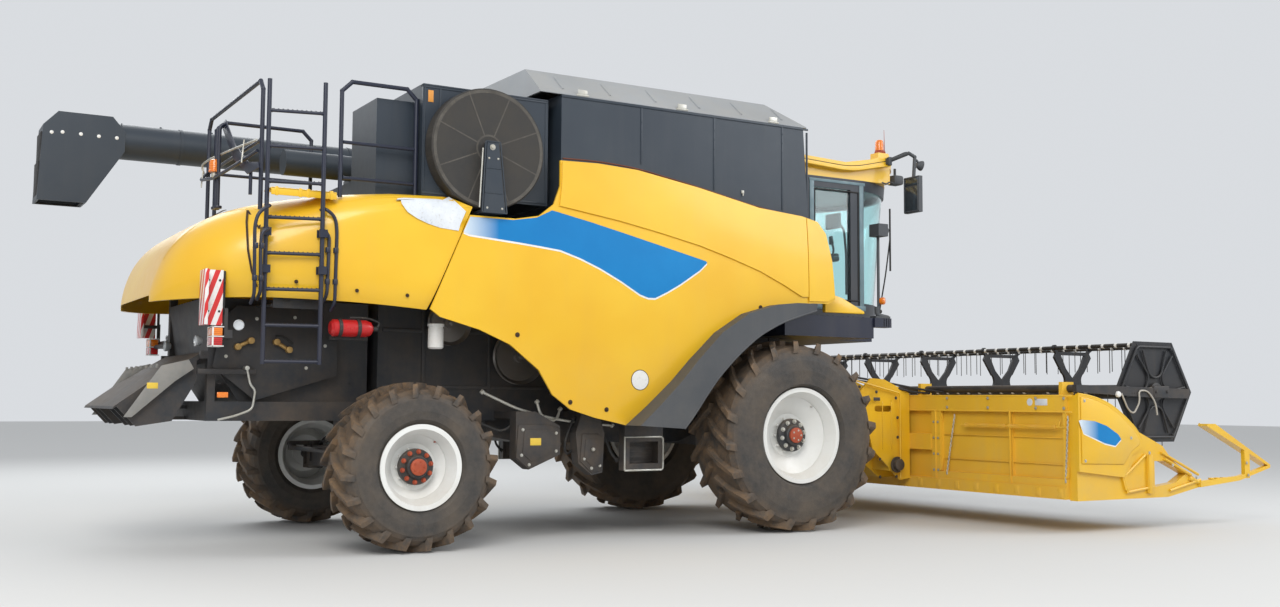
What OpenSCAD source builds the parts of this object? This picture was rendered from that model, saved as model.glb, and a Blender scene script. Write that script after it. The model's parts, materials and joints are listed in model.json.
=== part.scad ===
// Combine harvester with its grain header, in millimetres.
// Lengths run forward from the front axle, the left is +Y and the ground is z = 0.

/* [Machine] */
// Distance from the front axle to the rear axle
wheelbase = 3634; // [3500:2:3700]
// Half width of the threshing body between the wheels
body_y = 780; // [740:5:800]
// Height of the threshing body's floor over the rails
body_floor_z = 1150; // [1120:5:1180]
// Height of the threshing body's roof under the grain tank
body_roof_z = 2250; // [2200:5:2300]
// Thickness of a frame rail
rail_t = 80; // [60:5:90]
// Height of a front axle beam and of the rails on it
beam_h = 260; // [220:10:280]
// Radius of the hitch pin's bore
hitch_bore_r = 16.5; // [14:0.5:20]

/* [Wheels] */
// Diameter over the lugs of a front tyre
front_tyre_d = 1740; // [1690:10:1770]
// Width of a front tyre
front_tyre_w = 650; // [600:10:680]
// Bead seat diameter of a front rim
front_seat_d = 812; // [800:2:830]
// Diameter over the lugs of a rear tyre
rear_tyre_d = 1310; // [1270:10:1340]
// Width of a rear tyre
rear_tyre_w = 540; // [500:10:560]
// Bead seat diameter of a rear rim
rear_seat_d = 610; // [600:2:624]
// Distance of a wheel's middle from the machine's middle
track_y = 1400; // [1380:5:1420]
// Height of a tyre's lug over the tread
lug_h = 48; // [36:2:56]
// Lugs in each of a tyre's two rows
lug_count = 20; // [16:1:22]
// Radius of the shaft that carries a wheel
spindle_r = 60; // [50:2:70]
// Distance of a steering pivot from the machine's middle
kingpin_y = 1100; // [1085:5:1110]
// Length of a steering arm behind its pivot
steer_arm = 220; // [200:5:240]

/* [Side shields] */
// Half width of the machine over its side shields
shield_y = 1620; // [1610:2:1630]
// Radius of a side shield's bulge
shield_bulge_r = 6500; // [6000:100:8000]
// Height where a side shield bulges most
shield_bulge_z = 2200; // [2150:10:2250]
// Thickness of a side shield
shield_t = 20; // [14:1:24]
// Half width of the machine over its front fenders
fender_y = 1750; // [1740:2:1770]
// Thickness of a fender's wall
fender_t = 18; // [12:1:22]

/* [Grain tank] */
// Half width of the grain tank's right side
tank_y = 1520; // [1510:1:1524]
// Distance of the tank's left wall, beside the stowed auger, from the middle
tank_left_y = 1190; // [1150:5:1200]
// Position of the tank's rear wall
tank_rear_x = -2400; // [-2420:5:-2380]
// Height of the tank's rim
tank_rim_z = 3740; // [3700:10:3780]
// Thickness of a tank wall
tank_t = 30; // [20:2:40]
// Height of the covers over the tank's rim
cover_h = 270; // [220:10:300]
// Thickness of a cover's sheet
cover_t = 20; // [14:2:28]

/* [Engine bay] */
// Position of the engine bay's rear wall
bay_rear_x = -3600; // [-3618:2:-3560]
// Height of the engine bay's roof
bay_top_z = 3690; // [3660:5:3710]
// Radius of the rotary dust screen
screen_r = 490; // [470:5:500]
// Place of the dust screen's hub along the machine
screen_x = -3090; // [-3110:5:-3070]
// Height of the dust screen's hub
screen_z = 3190; // [3185:1:3200]
// Radius of the dust screen's shaft
screen_shaft_r = 30; // [20:2:40]

/* [Cab] */
// Half width of the cab
cab_y = 900; // [880:5:920]
// Position of the cab's rear wall
cab_rear_x = 660; // [650:5:690]
// Height of the cab's floor plate
cab_floor_z = 2060; // [2050:5:2080]
// Height of the cab's walls under the roof
cab_top_z = 3440; // [3420:5:3450]
// Radius of the curved windscreen in plan
screen_glass_r = 915; // [905:5:940]
// Thickness of the cab's walls and posts
cab_t = 60; // [50:2:70]
// Thickness of the glass
glass_t = 10; // [6:1:14]

/* [Unloading auger] */
// Distance of the auger's pivot from the machine's middle
auger_y = 1385; // [1380:1:1390]
// Position of the auger's pivot along the machine
auger_x = 420; // [410:5:430]
// Height of the auger tube's middle
auger_z = 3500; // [3490:5:3520]
// Radius of the auger tube
auger_r = 160; // [150:2:164]
// Position of the spout's rear end
spout_back_x = -6110; // [-6200:10:-6000]

/* [Header] */
// Half width of the header over its end shields
header_y = 3050; // [2900:10:3200]
// Position of the header's back sheet
header_back_x = 2060; // [2050:5:2080]
// Position of the divider's tip
divider_tip_x = 4830; // [4800:10:4900]
// Radius of the table auger over its flights
table_auger_r = 280; // [260:5:290]
// Radius of the table auger's tube
table_tube_r = 150; // [120:5:170]
// Pitch of the table auger's flights
flight_pitch = 520; // [440:20:600]
// Distance between two knife fingers
finger_pitch = 76.2; // [70:0.1:90]

/* [Reel] */
// Distance of the tine bars from the reel's middle
reel_r = 510; // [490:5:520]
// Position of the reel's middle along the machine
reel_x = 3265; // [3250:5:3280]
// Height of the reel's middle
reel_z = 1290; // [1280:5:1300]
// Number of spiders between the reel's two end plates
spider_count = 5; // [3:1:5]
// Length of a tine
tine_l = 230; // [200:5:240]
// Distance between two tines
tine_pitch = 150; // [120:5:180]
// Radius of a tine bar
tine_bar_r = 20; // [16:1:22]

/* [Hidden] */
$fn = 64;

// colours as the machine wears them
yellow = "#f2b61b";
steel_dark = "#3a3d42";
tank_grey = "#3c444f";
cover_grey = "#8d9297";
rubber = "#2b2a28";
rim_white = "#e6e6e2";
navy = "#1d2b3c";
glass_blue = "#8fc9c8";

right = -1;
left = 1;
seat_gap = 0.3;  // between pieces that rest on each other
run_gap = 0.05;  // round a shaft in its bore
swing_gap = 6;   // between pieces that move past each other

centre_x = (spout_back_x + divider_tip_x) / 2;
front_axle_z = front_tyre_d / 2;
rear_axle_z = rear_tyre_d / 2;
rail_z = front_axle_z + beam_h / 2;

// the machine's own lengths to the part's, which start at the middle of its box
module place() {
    translate([-centre_x, 0, 0]) children();
}

// the right-hand piece as drawn, or its mirror image on the left
module on_side(side) {
    mirror([0, side == left ? 1 : 0, 0]) children();
}

module both_sides() {
    for (side = [right, left]) on_side(side) children();
}

// an outline of length and height, drawn from y0 to y1
module side_slab(y0, y1) {
    translate([0, max(y0, y1), 0]) rotate([90, 0, 0]) linear_extrude(abs(y1 - y0)) children();
}

// an outline of width and height, drawn from x0 to x1
module cross_slab(x0, x1) {
    translate([min(x0, x1), 0, 0]) rotate([90, 0, 90]) linear_extrude(abs(x1 - x0)) children();
}

// a box from its low corner to its high corner
module block(low, high) {
    translate(low) cube(high - low);
}

// a round rod between two points
module rod(a, b, r, sides = 20) {
    v = b - a;
    translate(a) rotate([0, acos(v[2] / norm(v)), atan2(v[1], v[0])]) cylinder(h = norm(v), r = r, $fn = sides);
}

// a bent tube through a list of points
module tube_run(points, r) {
    for (i = [0 : len(points) - 2]) rod(points[i], points[i + 1], r);
    if (len(points) > 2) for (i = [1 : len(points) - 2]) translate(points[i]) sphere(r = r + 1.5, $fn = 20);
}

// a round shaft along Y
module cross_shaft(x, z, y0, y1, r) {
    translate([x, max(y0, y1), z]) rotate([90, 0, 0]) cylinder(h = abs(y1 - y0), r = r);
}

// Wheels

rim_edge = 26;                 // a rim's flange over the bead seat
front_rim_half = 276;
rear_rim_half = 246;
hub_face = 60;                 // the wheel disc's seat outboard of the wheel's middle
hub_h = 110;
shaft_reach = 90;

// angle behind the lug's inner end, share of the half width, depth below the tips, depth of the foot
lug_stations = [[0, 0.04, 0, 1.25], [7, 0.40, 3, 1.35], [15, 0.93, 16, 1.75], [16.5, 0.985, 82, 2.45]];
lug_half_angle = 1.7;

function lug_ring(s, r, half_w) = [
    for (p = [[-1, s[2]], [1, s[2]], [1.5, s[3] * lug_h], [-1.5, s[3] * lug_h]])
    let (a = s[0] + p[0] * lug_half_angle)
    [(r - p[1]) * cos(a), s[1] * half_w, (r - p[1]) * sin(a)]
];

module lug(r, half_w) {
    last = 4 * len(lug_stations) - 4;
    points = [for (s = lug_stations) each lug_ring(s, r, half_w)];
    sides = [for (k = [0 : 4 : last - 4], j = [0 : 3]) let (a = k + j, b = k + (j + 1) % 4)
        each [[a, b, a + 4], [b, b + 4, a + 4]]];
    polyhedron(points, concat([[3, 2, 1, 0], [last, last + 1, last + 2, last + 3]], sides));
}

module tyre_at(x, side, d, w, seat_d, rim_half) {
    r = d / 2;
    tread = r - lug_h;
    bead = seat_d / 2 + seat_gap;
    flange = seat_d / 2 + rim_edge + 6;
    half = w / 2;
    belly = (flange + tread) / 2;
    // radius and half width down one sidewall
    wall = [[bead, rim_half - 24], [flange, rim_half - 18], [flange + 30, half - 10], [belly - 40, half],
        [belly + 50, half - 4], [tread - 50, half - 22], [tread - 14, half - 66], [tread, half / 3]];
    color(rubber) place() on_side(side) translate([x, -track_y, r]) {
        rotate([90, 0, 0]) rotate_extrude($fn = 96)
            polygon(concat(wall, [for (i = [len(wall) - 1 : -1 : 0]) [wall[i][0], -wall[i][1]]]));
        for (i = [0 : lug_count - 1]) {
            rotate([0, -i * 360 / lug_count, 0]) lug(r, half);
            rotate([0, -(i + 0.5) * 360 / lug_count, 0]) mirror([0, 1, 0]) lug(r, half);
        }
    }
}

module front_tyre(side) {
    tyre_at(0, side, front_tyre_d, front_tyre_w, front_seat_d, front_rim_half);
}

module rear_tyre(side) {
    tyre_at(-wheelbase, side, rear_tyre_d, rear_tyre_w, rear_seat_d, rear_rim_half);
}

module rim_at(x, z, side, seat_d, rim_half, shaft_r) {
    seat = seat_d / 2;
    drop = seat - 46;
    flange = seat + rim_edge;
    skin = 12;
    hub_r = shaft_r + 70;
    // radius and outboard distance round the barrel's wall, then the disc down to the hub
    barrel = [[flange, rim_half], [flange, rim_half - 14], [seat, rim_half - 22], [seat - 4, rim_half - 70],
        [drop, rim_half - 110], [drop, 110 - rim_half], [seat - 4, 70 - rim_half], [seat, 22 - rim_half],
        [flange, 14 - rim_half], [flange, -rim_half], [seat - skin, -rim_half], [drop - skin, 106 - rim_half],
        [drop - skin, rim_half - 106], [seat - skin, rim_half]];
    disc = [[drop - 4, rim_half - 120], [drop - 4, rim_half - 134], [hub_r + 60, hub_face - 14],
        [hub_r - 20, hub_face - 14], [hub_r - 20, hub_face], [hub_r + 66, hub_face]];
    color(rim_white) place() on_side(side) translate([x, -track_y, z]) rotate([90, 0, 0]) {
        rotate_extrude($fn = 96) polygon(barrel);
        rotate_extrude($fn = 96) polygon(disc);
        difference() {
            translate([0, 0, hub_face - 50]) cylinder(h = hub_h, r = hub_r);
            translate([0, 0, hub_face - 51]) cylinder(h = shaft_reach + 1, r = shaft_r + run_gap);
        }
        for (i = [0 : 9]) rotate([0, 0, 36 * i]) translate([hub_r + 24, 0, hub_face - 1])
            cylinder(h = 26, r = 13, $fn = 6);
    }
}

module front_rim(side) {
    rim_at(0, front_axle_z, side, front_seat_d, front_rim_half, spindle_r);
}

module rear_rim(side) {
    rim_at(-wheelbase, rear_axle_z, side, rear_seat_d, rear_rim_half, spindle_r - 15);
}

shaft_end_y = track_y + hub_face - 50 + shaft_reach - 5;
kingpin_r = 35;
boss_r = 75;
boss_h = 180;
ear_h = 36;
knuckle_wall_y = kingpin_y + boss_r + 10;

// steering knuckle: two ears round the beam's end, the kingpin, the spindle and the steering arm
module knuckle(side) {
    low = rear_axle_z - boss_h / 2 - seat_gap;
    high = rear_axle_z + boss_h / 2 + seat_gap;
    color(steel_dark) place() on_side(side) translate([-wheelbase, 0, 0]) {
        for (z = [low - ear_h, high]) {
            translate([0, -kingpin_y, z]) cylinder(h = ear_h, r = boss_r);
            block([-boss_r, -knuckle_wall_y - 40, z], [boss_r, -kingpin_y, z + ear_h]);
        }
        block([-boss_r, -knuckle_wall_y - 40, low - ear_h], [boss_r, -knuckle_wall_y, high + ear_h]);
        translate([0, -kingpin_y, low - ear_h]) cylinder(h = high - low + 2 * ear_h, r = kingpin_r);
        cross_shaft(0, rear_axle_z, -knuckle_wall_y, -shaft_end_y, spindle_r - 15);
        block([-steer_arm - 40, -kingpin_y - 40, high], [0, -kingpin_y + 40, high + ear_h]);
    }
}

// tie rod between the steering arms, its eyes just under them
module tie_rod() {
    z = rear_axle_z + boss_h / 2;
    color(steel_dark) place() translate([-wheelbase - steer_arm, 0, 0]) {
        cross_shaft(0, z - 24, -kingpin_y, kingpin_y, 22);
        both_sides() translate([0, -kingpin_y, z - 48]) cylinder(h = 48, r = 38);
    }
}

// Chassis

axle_half_x = 110;
rear_beam_end = kingpin_y - boss_r + 10;

module front_axle() {
    color(steel_dark) place() {
        block([-axle_half_x, -track_y + 420, front_axle_z - beam_h / 2], [axle_half_x, track_y - 420, rail_z]);
        both_sides() {
            cross_shaft(0, front_axle_z, -track_y + 430, -track_y + 200, 210);
            cross_shaft(0, front_axle_z, -track_y + 210, -track_y + 40, 150);
            cross_shaft(0, front_axle_z, -track_y + 50, -track_y - hub_face + 50.3, spindle_r + 50);
            cross_shaft(0, front_axle_z, -track_y, -shaft_end_y, spindle_r);
        }
        // lugs that hold the lift cylinders
        both_sides() difference() {
            side_slab(-lift_y - 52, -lift_y + 52) polygon([[axle_half_x - 10, front_axle_z - 120],
                [lift_base_x + 40, lift_base_z - 40], [lift_base_x + 40, lift_base_z + 40],
                [axle_half_x - 10, front_axle_z + 20]]);
            block([axle_half_x, -lift_y - lift_eye_w - 3, lift_base_z - 80],
                [lift_base_x + 60, -lift_y + lift_eye_w + 3, lift_base_z + 160]);
        }
        both_sides() cross_shaft(lift_base_x, lift_base_z, -lift_y - 50, -lift_y + 50, lift_pin_r);
    }
}

module rear_axle() {
    h = boss_h;
    color(steel_dark) place() translate([-wheelbase, 0, 0]) {
        difference() {
            union() {
                block([-90, -rear_beam_end, rear_axle_z - h / 2], [90, rear_beam_end, rear_axle_z + h / 2]);
                both_sides() translate([0, -kingpin_y, rear_axle_z - h / 2]) cylinder(h = h, r = boss_r);
            }
            both_sides() translate([0, -kingpin_y, rear_axle_z - h])
                cylinder(h = 2 * h, r = kingpin_r + run_gap);
        }
        // pivot block under the frame
        cross_slab(-100, 100) polygon([[-260, rail_z], [260, rail_z], [180, rear_axle_z + h / 2 - 5],
            [-180, rear_axle_z + h / 2 - 5]]);
    }
}

rail_rear_x = -5060;
rail_front_x = 420;
body_front_x = 420;
lower_y = 1300;       // outer face of the boxes that hang below the right shield
tail_bar_w = 60;

module chassis_frame() {
    color(steel_dark) place() {
        both_sides() block([rail_rear_x, -body_y, rail_z], [rail_front_x, -body_y + rail_t, body_floor_z]);
        // cross members over both axles and at the rear
        for (x = [-wheelbase, rail_rear_x + 90])
            block([x - 90, -body_y + rail_t - 1, rail_z], [x + 90, body_y - rail_t + 1, body_floor_z]);
        block([-80, -body_y + rail_t - 1, rail_z], [80, body_y - rail_t + 1, body_floor_z - 60]);
        // tow hitch: two ears on the rear cross member with a pin bore
        difference() {
            union() {
                for (z = [rail_z, rail_z + 90])
                    block([rail_rear_x - 180, -60, z], [rail_rear_x + 10, 60, z + 25]);
            }
            translate([rail_rear_x - 120, 0, rail_z - 10]) cylinder(h = 150, r = hitch_bore_r);
        }
    }
}

// brackets outside the rails that carry the boxes below the side shields
module side_brackets() {
    color(steel_dark) place() {
        both_sides() {
            for (x = [-2600, -1960, -1450])
                block([x - 40, -lower_y + 90, rail_z + 20], [x + 40, -body_y, rail_z + 80]);
            side_slab(-lower_y, -lower_y + 120)
                polygon([[-2680, 690], [-2560, 600], [-2270, 720], [-2270, 960], [-2500, rail_z + 80],
                    [-2680, rail_z + 80]]);
            side_slab(-lower_y, -lower_y + 120)
                polygon([[-2120, 900], [-2090, 640], [-1960, 540], [-1860, 560], [-1840, 900], [-1900, rail_z + 80],
                    [-2060, rail_z + 80]]);
            difference() {
                block([-1640, -lower_y, 570], [-1250, -lower_y + 100, rail_z + 80]);
                block([-1590, -lower_y - 10, 630], [-1300, -lower_y + 110, 820]);
            }
        }
        // rests for the shut side shields
        both_sides() for (p = [[-2200, 1500], [-2900, 2100], [-600, 2150]])
            block([p[0] - 30, -shield_inner_y(p[1] - 20) + seat_gap, p[1] - 20], [p[0] + 30, -body_y, p[1] + 20]);
    }
}

// tail posts up to the hood, the tail bar and the straw deflector's hinge
module tail_frame() {
    color(steel_dark) place() {
        both_sides() {
            side_slab(-body_y, -body_y + rail_t) polygon([[rail_rear_x, body_floor_z],
                [rail_rear_x, hood_value(rail_rear_x - hood_t, 2) - hood_t - seat_gap],
                [rail_rear_x + tail_bar_w, hood_value(rail_rear_x + tail_bar_w - hood_t, 2) - hood_t - seat_gap],
                [rail_rear_x + tail_bar_w, body_floor_z]]);
            block([rail_rear_x, -1290, 1620], [rail_rear_x + tail_bar_w, -body_y + 1, 1680]);
            block([rail_rear_x, -1290, 1679], [rail_rear_x + 24, -1262, 1840]);
            difference() {
                block([deflector_x - 25, -body_y, deflector_z - 30], [rail_rear_x + 1, -body_y + 50, deflector_z + 30]);
                cross_shaft(deflector_x, deflector_z, -body_y - 1, -body_y + 51, deflector_pin_r + run_gap);
            }
        }
    }
}

module threshing_body() {
    color(steel_dark) place() {
        side_slab(-body_y, body_y) polygon([[-3700, body_floor_z], [-3700, body_roof_z - 150], [-3300, body_roof_z],
            [300, body_roof_z], [body_front_x, body_roof_z - 120], [body_front_x, 1420], [250, body_floor_z]]);
        // sieve box hanging between the rails
        side_slab(-body_y + rail_t + 10, body_y - rail_t - 10) polygon([[-2750, body_floor_z + 1], [-2650, 860],
            [-2300, 800], [-700, 800], [-450, 900], [-350, body_floor_z + 1]]);
        // plates that carry the feeder house
        both_sides() difference() {
            block([body_front_x - 1, -feeder_plate_y - 48, feeder_pivot_z - 110],
                [feeder_pivot_x + 90, -feeder_plate_y, feeder_pivot_z + 110]);
            cross_shaft(feeder_pivot_x, feeder_pivot_z, -feeder_plate_y - 49, -feeder_plate_y + 1,
                feeder_pin_r + run_gap);
        }
    }
}

// Side shields

function shield_inner_y(z) = shield_y - shield_bulge_r
    + sqrt(pow(shield_bulge_r - shield_t, 2) - pow(z - shield_bulge_z, 2));

// length and height along the shield's edge, from the rear seam over the top to the front and back along the bottom
seam_low = [-3572, 1877];
seam_high = [-3249, 2640];
shield_top = [[-2850, 2640], [-2640, 2680], [-2500, 2790], [-2435, 2950], [-2420, 3170], [-2060, 3180], [-1670, 3160],
    [-1050, 3060], [-400, 2930], [80, 2890]];
shield_nose = [[260, 2850], [350, 2740], [410, 2490], [440, 2130], [360, 2085], [170, 2082]];
shield_rear_edge = [[-1850, 990], [-2050, 1030], [-2290, 1100], [-2470, 1220], [-2610, 1420], [-2880, 1620],
    [-3150, 1730], [-3490, 1820]];
nose_seam_x = 120;

// angle round the front wheel, radius of the fender's inner edge, radius of its outer edge
fender_arc = [[84, 1150, 1215], [95, 1085, 1210], [105, 1060, 1225], [120, 1040, 1262], [135, 1040, 1295],
    [150, 1085, 1345], [160, 1135, 1420], [170, 1215, 1580], [176.5, 1310, 1750]];

function arc_point(a, r) = [r * cos(a), front_axle_z - 10 + r * sin(a)];

module fender_outline(inset = 0) {
    n = len(fender_arc) - 1;
    polygon(concat([for (p = fender_arc) arc_point(p[0], p[2] - inset)],
        [for (i = [n : -1 : 0]) arc_point(fender_arc[i][0], fender_arc[i][1] + inset)]));
}

module shield_outline() {
    polygon(concat([seam_low, seam_high], shield_top, shield_nose,
        [for (p = fender_arc) arc_point(p[0], p[2] + seat_gap)], shield_rear_edge));
}

// the upper panel, proud of the band below its crease, and the nose in front of the seam
upper_panel = [[-2450, 2778], [-2300, 2757], [-1885, 2697], [-1480, 2622], [-1075, 2537], [-750, 2447], [-430, 2347],
    [-170, 2237], [40, 2137], [115, 2137], [115, 2876], [-400, 2918], [-1050, 3048], [-1670, 3148], [-2060, 3168],
    [-2408, 3158], [-2423, 2955]];
nose_panel = [[125, 2100], [345, 2105], [425, 2145], [397, 2485], [338, 2730], [252, 2838], [125, 2872]];
panel_proud = 14;

// the bulged skin between two radii about one long axis
module shield_skin(x0, x1, proud = 0) {
    cross_slab(x0, x1) intersection() {
        difference() {
            translate([-shield_y + shield_bulge_r, shield_bulge_z]) circle(r = shield_bulge_r + proud, $fn = 360);
            translate([-shield_y + shield_bulge_r, shield_bulge_z]) circle(r = shield_bulge_r - shield_t, $fn = 360);
        }
        translate([-shield_y - 50, 900]) square([400, 2400]);
    }
}

module side_shield(side) {
    color(yellow) place() on_side(side) difference() {
        union() {
        intersection() {
            shield_skin(-3700, 500);
            side_slab(-shield_y - 60, -1300) shield_outline();
        }
        intersection() {
            shield_skin(-3700, 500, panel_proud);
            side_slab(-shield_y - 60, -1300) {
                polygon(upper_panel);
                polygon(nose_panel);
            }
        }
        }
        // seam in front of the big panel
        block([nose_seam_x - 5, -shield_y - 20, 2000], [nose_seam_x + 5, -shield_inner_y(shield_bulge_z) - 12, 3000]);
    }
}

module fender(side) {
    inner_y = 1480;
    color(steel_dark) place() on_side(side) {
        difference() {
            side_slab(-fender_y, -inner_y) fender_outline();
            side_slab(-fender_y + fender_t, -inner_y + 1) fender_outline(fender_t);
        }
    }
}

// Grain tank

tank_front_low = [200, 2900];
tank_front_top = [144, tank_rim_z];
tank_floor_z = body_roof_z;
recess_z = 3290;  // shelf under the stowed auger

module tank_side(inset = 0) {
    polygon([[tank_rear_x + inset, tank_floor_z + inset], [100 - inset, tank_floor_z + inset],
        [tank_front_low[0] - inset, tank_front_low[1]], [tank_front_top[0] - inset, tank_rim_z + (inset > 0 ? 10 : 0)],
        [tank_rear_x + inset, tank_rim_z + (inset > 0 ? 10 : 0)]]);
}

module tank_section(inset = 0) {
    top = tank_rim_z + (inset > 0 ? 10 : 0);
    polygon([[-tank_y + inset, top], [-tank_y + inset, 2700 + inset / 2], [-body_y + inset, tank_floor_z + inset],
        [body_y - inset, tank_floor_z + inset], [tank_y - inset, 2700 + inset / 2], [tank_y - inset, recess_z - inset],
        [tank_left_y - inset, recess_z - inset], [tank_left_y - inset, top]]);
}

module grain_tank() {
    color(tank_grey) place() difference() {
        intersection() {
            side_slab(-tank_y, tank_y) tank_side();
            cross_slab(tank_rear_x, 210) tank_section();
        }
        intersection() {
            side_slab(-tank_y, tank_y) tank_side(tank_t);
            cross_slab(tank_rear_x, 210) tank_section(tank_t);
        }
    }
}

cover_rear_x = -2600;
cover_front_x = -110;
cover_edge_x = 190;
cover_slope = 300;
cover_split = 3;

module cover_side(inset = 0) {
    polygon([[cover_rear_x + inset, tank_rim_z - inset], [cover_rear_x + inset, tank_rim_z + cover_h - inset],
        [cover_front_x, tank_rim_z + cover_h - inset], [cover_edge_x - 1.5 * inset, tank_rim_z - inset]]);
}

// hinge_y is the outer edge, on the right as drawn
module cover_section(hinge_y, inset = 0) {
    polygon([[-hinge_y + inset, tank_rim_z - inset], [-hinge_y + inset, tank_rim_z + 10],
        [-hinge_y + cover_slope, tank_rim_z + cover_h - 20 - inset], [-cover_split - inset, tank_rim_z + cover_h - inset],
        [-cover_split - inset, tank_rim_z - inset]]);
}

module tank_cover(side) {
    hinge_y = side == right ? tank_y : tank_left_y;
    color(cover_grey) place() translate([0, 0, seat_gap]) on_side(side) difference() {
        intersection() {
            side_slab(-tank_y, 0) cover_side();
            cross_slab(cover_rear_x, 200) cover_section(hinge_y);
        }
        intersection() {
            side_slab(-tank_y, 0) cover_side(cover_t);
            cross_slab(cover_rear_x, 200) cover_section(hinge_y, cover_t);
        }
    }
}

// Engine bay

bay_front_x = -2490;
bay_y = 1450;
bay_inner_y = 560;
bay_floor_z = 2790;
bay_left_y = 1150;
hood_z = 3150;
screen_face_y = 1600;
duct_y = screen_face_y + swing_gap;
duct_l = 525;
silencer_r = 115;
silencer_z = 3280;

module engine_bay() {
    wall = 24;
    low = bay_floor_z + seat_gap;
    box_x = bay_rear_x - 330;
    color(tank_grey) place() {
        // tall cooling box on the right and the low hood over the engine
        difference() {
            union() {
                block([bay_rear_x, -bay_y, low], [bay_front_x, -bay_inner_y, bay_top_z]);
                block([bay_rear_x, -bay_inner_y - 1, low], [bay_front_x, bay_left_y, hood_z]);
                block([box_x, -1300, low], [bay_rear_x + 1, -700, bay_top_z - 130]);
            }
            block([bay_rear_x + wall, -bay_y + wall, low - 1],
                [bay_front_x - wall, -bay_inner_y - wall, bay_top_z - wall]);
            block([box_x + wall, -1300 + wall, low - 1], [bay_rear_x + 1, -700 - wall, bay_top_z - 130 - wall]);
            block([bay_rear_x + wall, -bay_inner_y - wall - 1, low - 1],
                [bay_front_x - wall, bay_left_y - wall, hood_z - wall]);
        }
        // posts under its front wall, down to the threshing body
        for (y = [-700, 640]) block([bay_front_x - wall, y, body_roof_z + seat_gap], [bay_front_x, y + 60, low + 1]);
        // shaft and suction duct of the dust screen
        cross_shaft(screen_x, screen_z, -bay_y + 1, -duct_y - 1, screen_shaft_r);
        side_slab(-duct_y - 60, -duct_y) polygon([[screen_x - 70, screen_z - duct_l],
            [screen_x + 120, screen_z - duct_l], [screen_x + 55, screen_z + 40], [screen_x - 45, screen_z + 40]]);
        block([screen_x - 70, -duct_y - 60, screen_z - duct_l], [screen_x + 120, -bay_y + 1, screen_z - duct_l + 25]);
        // silencer on two feet
        translate([bay_rear_x - 600, 400, silencer_z]) rotate([0, 90, 0]) cylinder(h = 760, r = silencer_r);
        for (x = [bay_rear_x + 20, bay_rear_x + 90])
            block([x, 370, hood_z - 1], [x + 30, 430, silencer_z - silencer_r + 20]);
        // rest under the stowed unloading auger
        rest_z = auger_z - auger_r - seat_gap;
        cross_slab(-3300, -3240) polygon([[bay_left_y - 1, low + 40], [bay_left_y - 1, hood_z],
            [auger_y - 90, rest_z], [auger_y + 90, rest_z], [auger_y + 90, rest_z - 40], [auger_y - 60, hood_z - 30]]);
    }
}

module engine() {
    color(steel_dark) place() block([-3180, -480, body_roof_z + seat_gap], [-2545, 900, 3080]);
}

module dust_screen() {
    inner = bay_y + swing_gap;
    color(steel_dark) place() translate([screen_x, 0, screen_z]) rotate([90, 0, 0]) {
        rotate_extrude($fn = 96) polygon([[screen_shaft_r + run_gap, screen_face_y - 14],
            [screen_r - 30, screen_face_y - 14], [screen_r - 30, inner], [screen_r, inner],
            [screen_r, screen_face_y - 10], [screen_r - 10, screen_face_y],
            [screen_shaft_r + run_gap, screen_face_y]]);
        // hub and the ribs behind the mesh
        difference() {
            translate([0, 0, inner]) cylinder(h = screen_face_y - inner - 1, r = 70);
            translate([0, 0, inner - 1]) cylinder(h = screen_face_y, r = screen_shaft_r + run_gap);
        }
        for (a = [45 : 90 : 315]) rotate([0, 0, a])
            translate([60, -12, screen_face_y - 50]) cube([screen_r - 80, 24, 45]);
    }
}

// Rear hood

// position, half width, height of the top, height of the lower edge, radius of the upper corner
hood_stations = [[-3300, 1602, 2790, 1875, 110], [-3960, 1540, 2790, 1910, 190], [-4400, 1440, 2750, 1930, 300],
    [-4750, 1350, 2700, 1940, 400], [-5050, 1240, 2610, 1930, 420], [-5250, 1100, 2480, 1920, 380],
    [-5380, 940, 2310, 1915, 250], [-5450, 790, 2130, 1912, 150], [-5480, 660, 1990, 1910, 50]];
hood_t = 30;
corner_steps = 6;
seam_slope = (seam_high[0] - seam_low[0]) / (seam_high[1] - seam_low[1]);

// one half of an arched section, from the lower edge up to the middle
function hood_half(s, inset) =
    let (w = s[1] - inset, r = max(s[4] - inset, 20), tuck = min(60, (s[2] - s[3]) * 0.1))
    concat([[w - tuck, s[3]], [w, s[3] + 2 * tuck]],
        [for (i = [0 : corner_steps]) let (a = 90 * i / corner_steps)
            [w - r + r * cos(a), s[2] - inset - r + r * sin(a)]]);

// the first section leans with the shield's rear seam
function ring_x(k, z, shift) = k == 0 ? seam_low[0] - swing_gap + (z - seam_low[1]) * seam_slope
    : hood_stations[k][0] + shift;

function hood_ring(k, inset) = let (half = hood_half(hood_stations[k], inset),
    shift = k < len(hood_stations) - 1 ? inset : 0)
    concat([for (p = half) [ring_x(k, p[1], shift), -p[0], p[1]]],
        [for (i = [len(half) - 1 : -1 : 0]) [ring_x(k, half[i][1], shift), half[i][0], half[i][1]]]);

function hood_value(x, column) = lookup(x, [for (s = hood_stations) [s[0], s[column]]]);

// height of the hood's roof at a place off its middle
function hood_roof(x, y) = let (r = hood_value(x, 4), off = max(0, abs(y) - hood_value(x, 1) + r))
    hood_value(x, 2) - r + sqrt(r * r - off * off);

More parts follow.
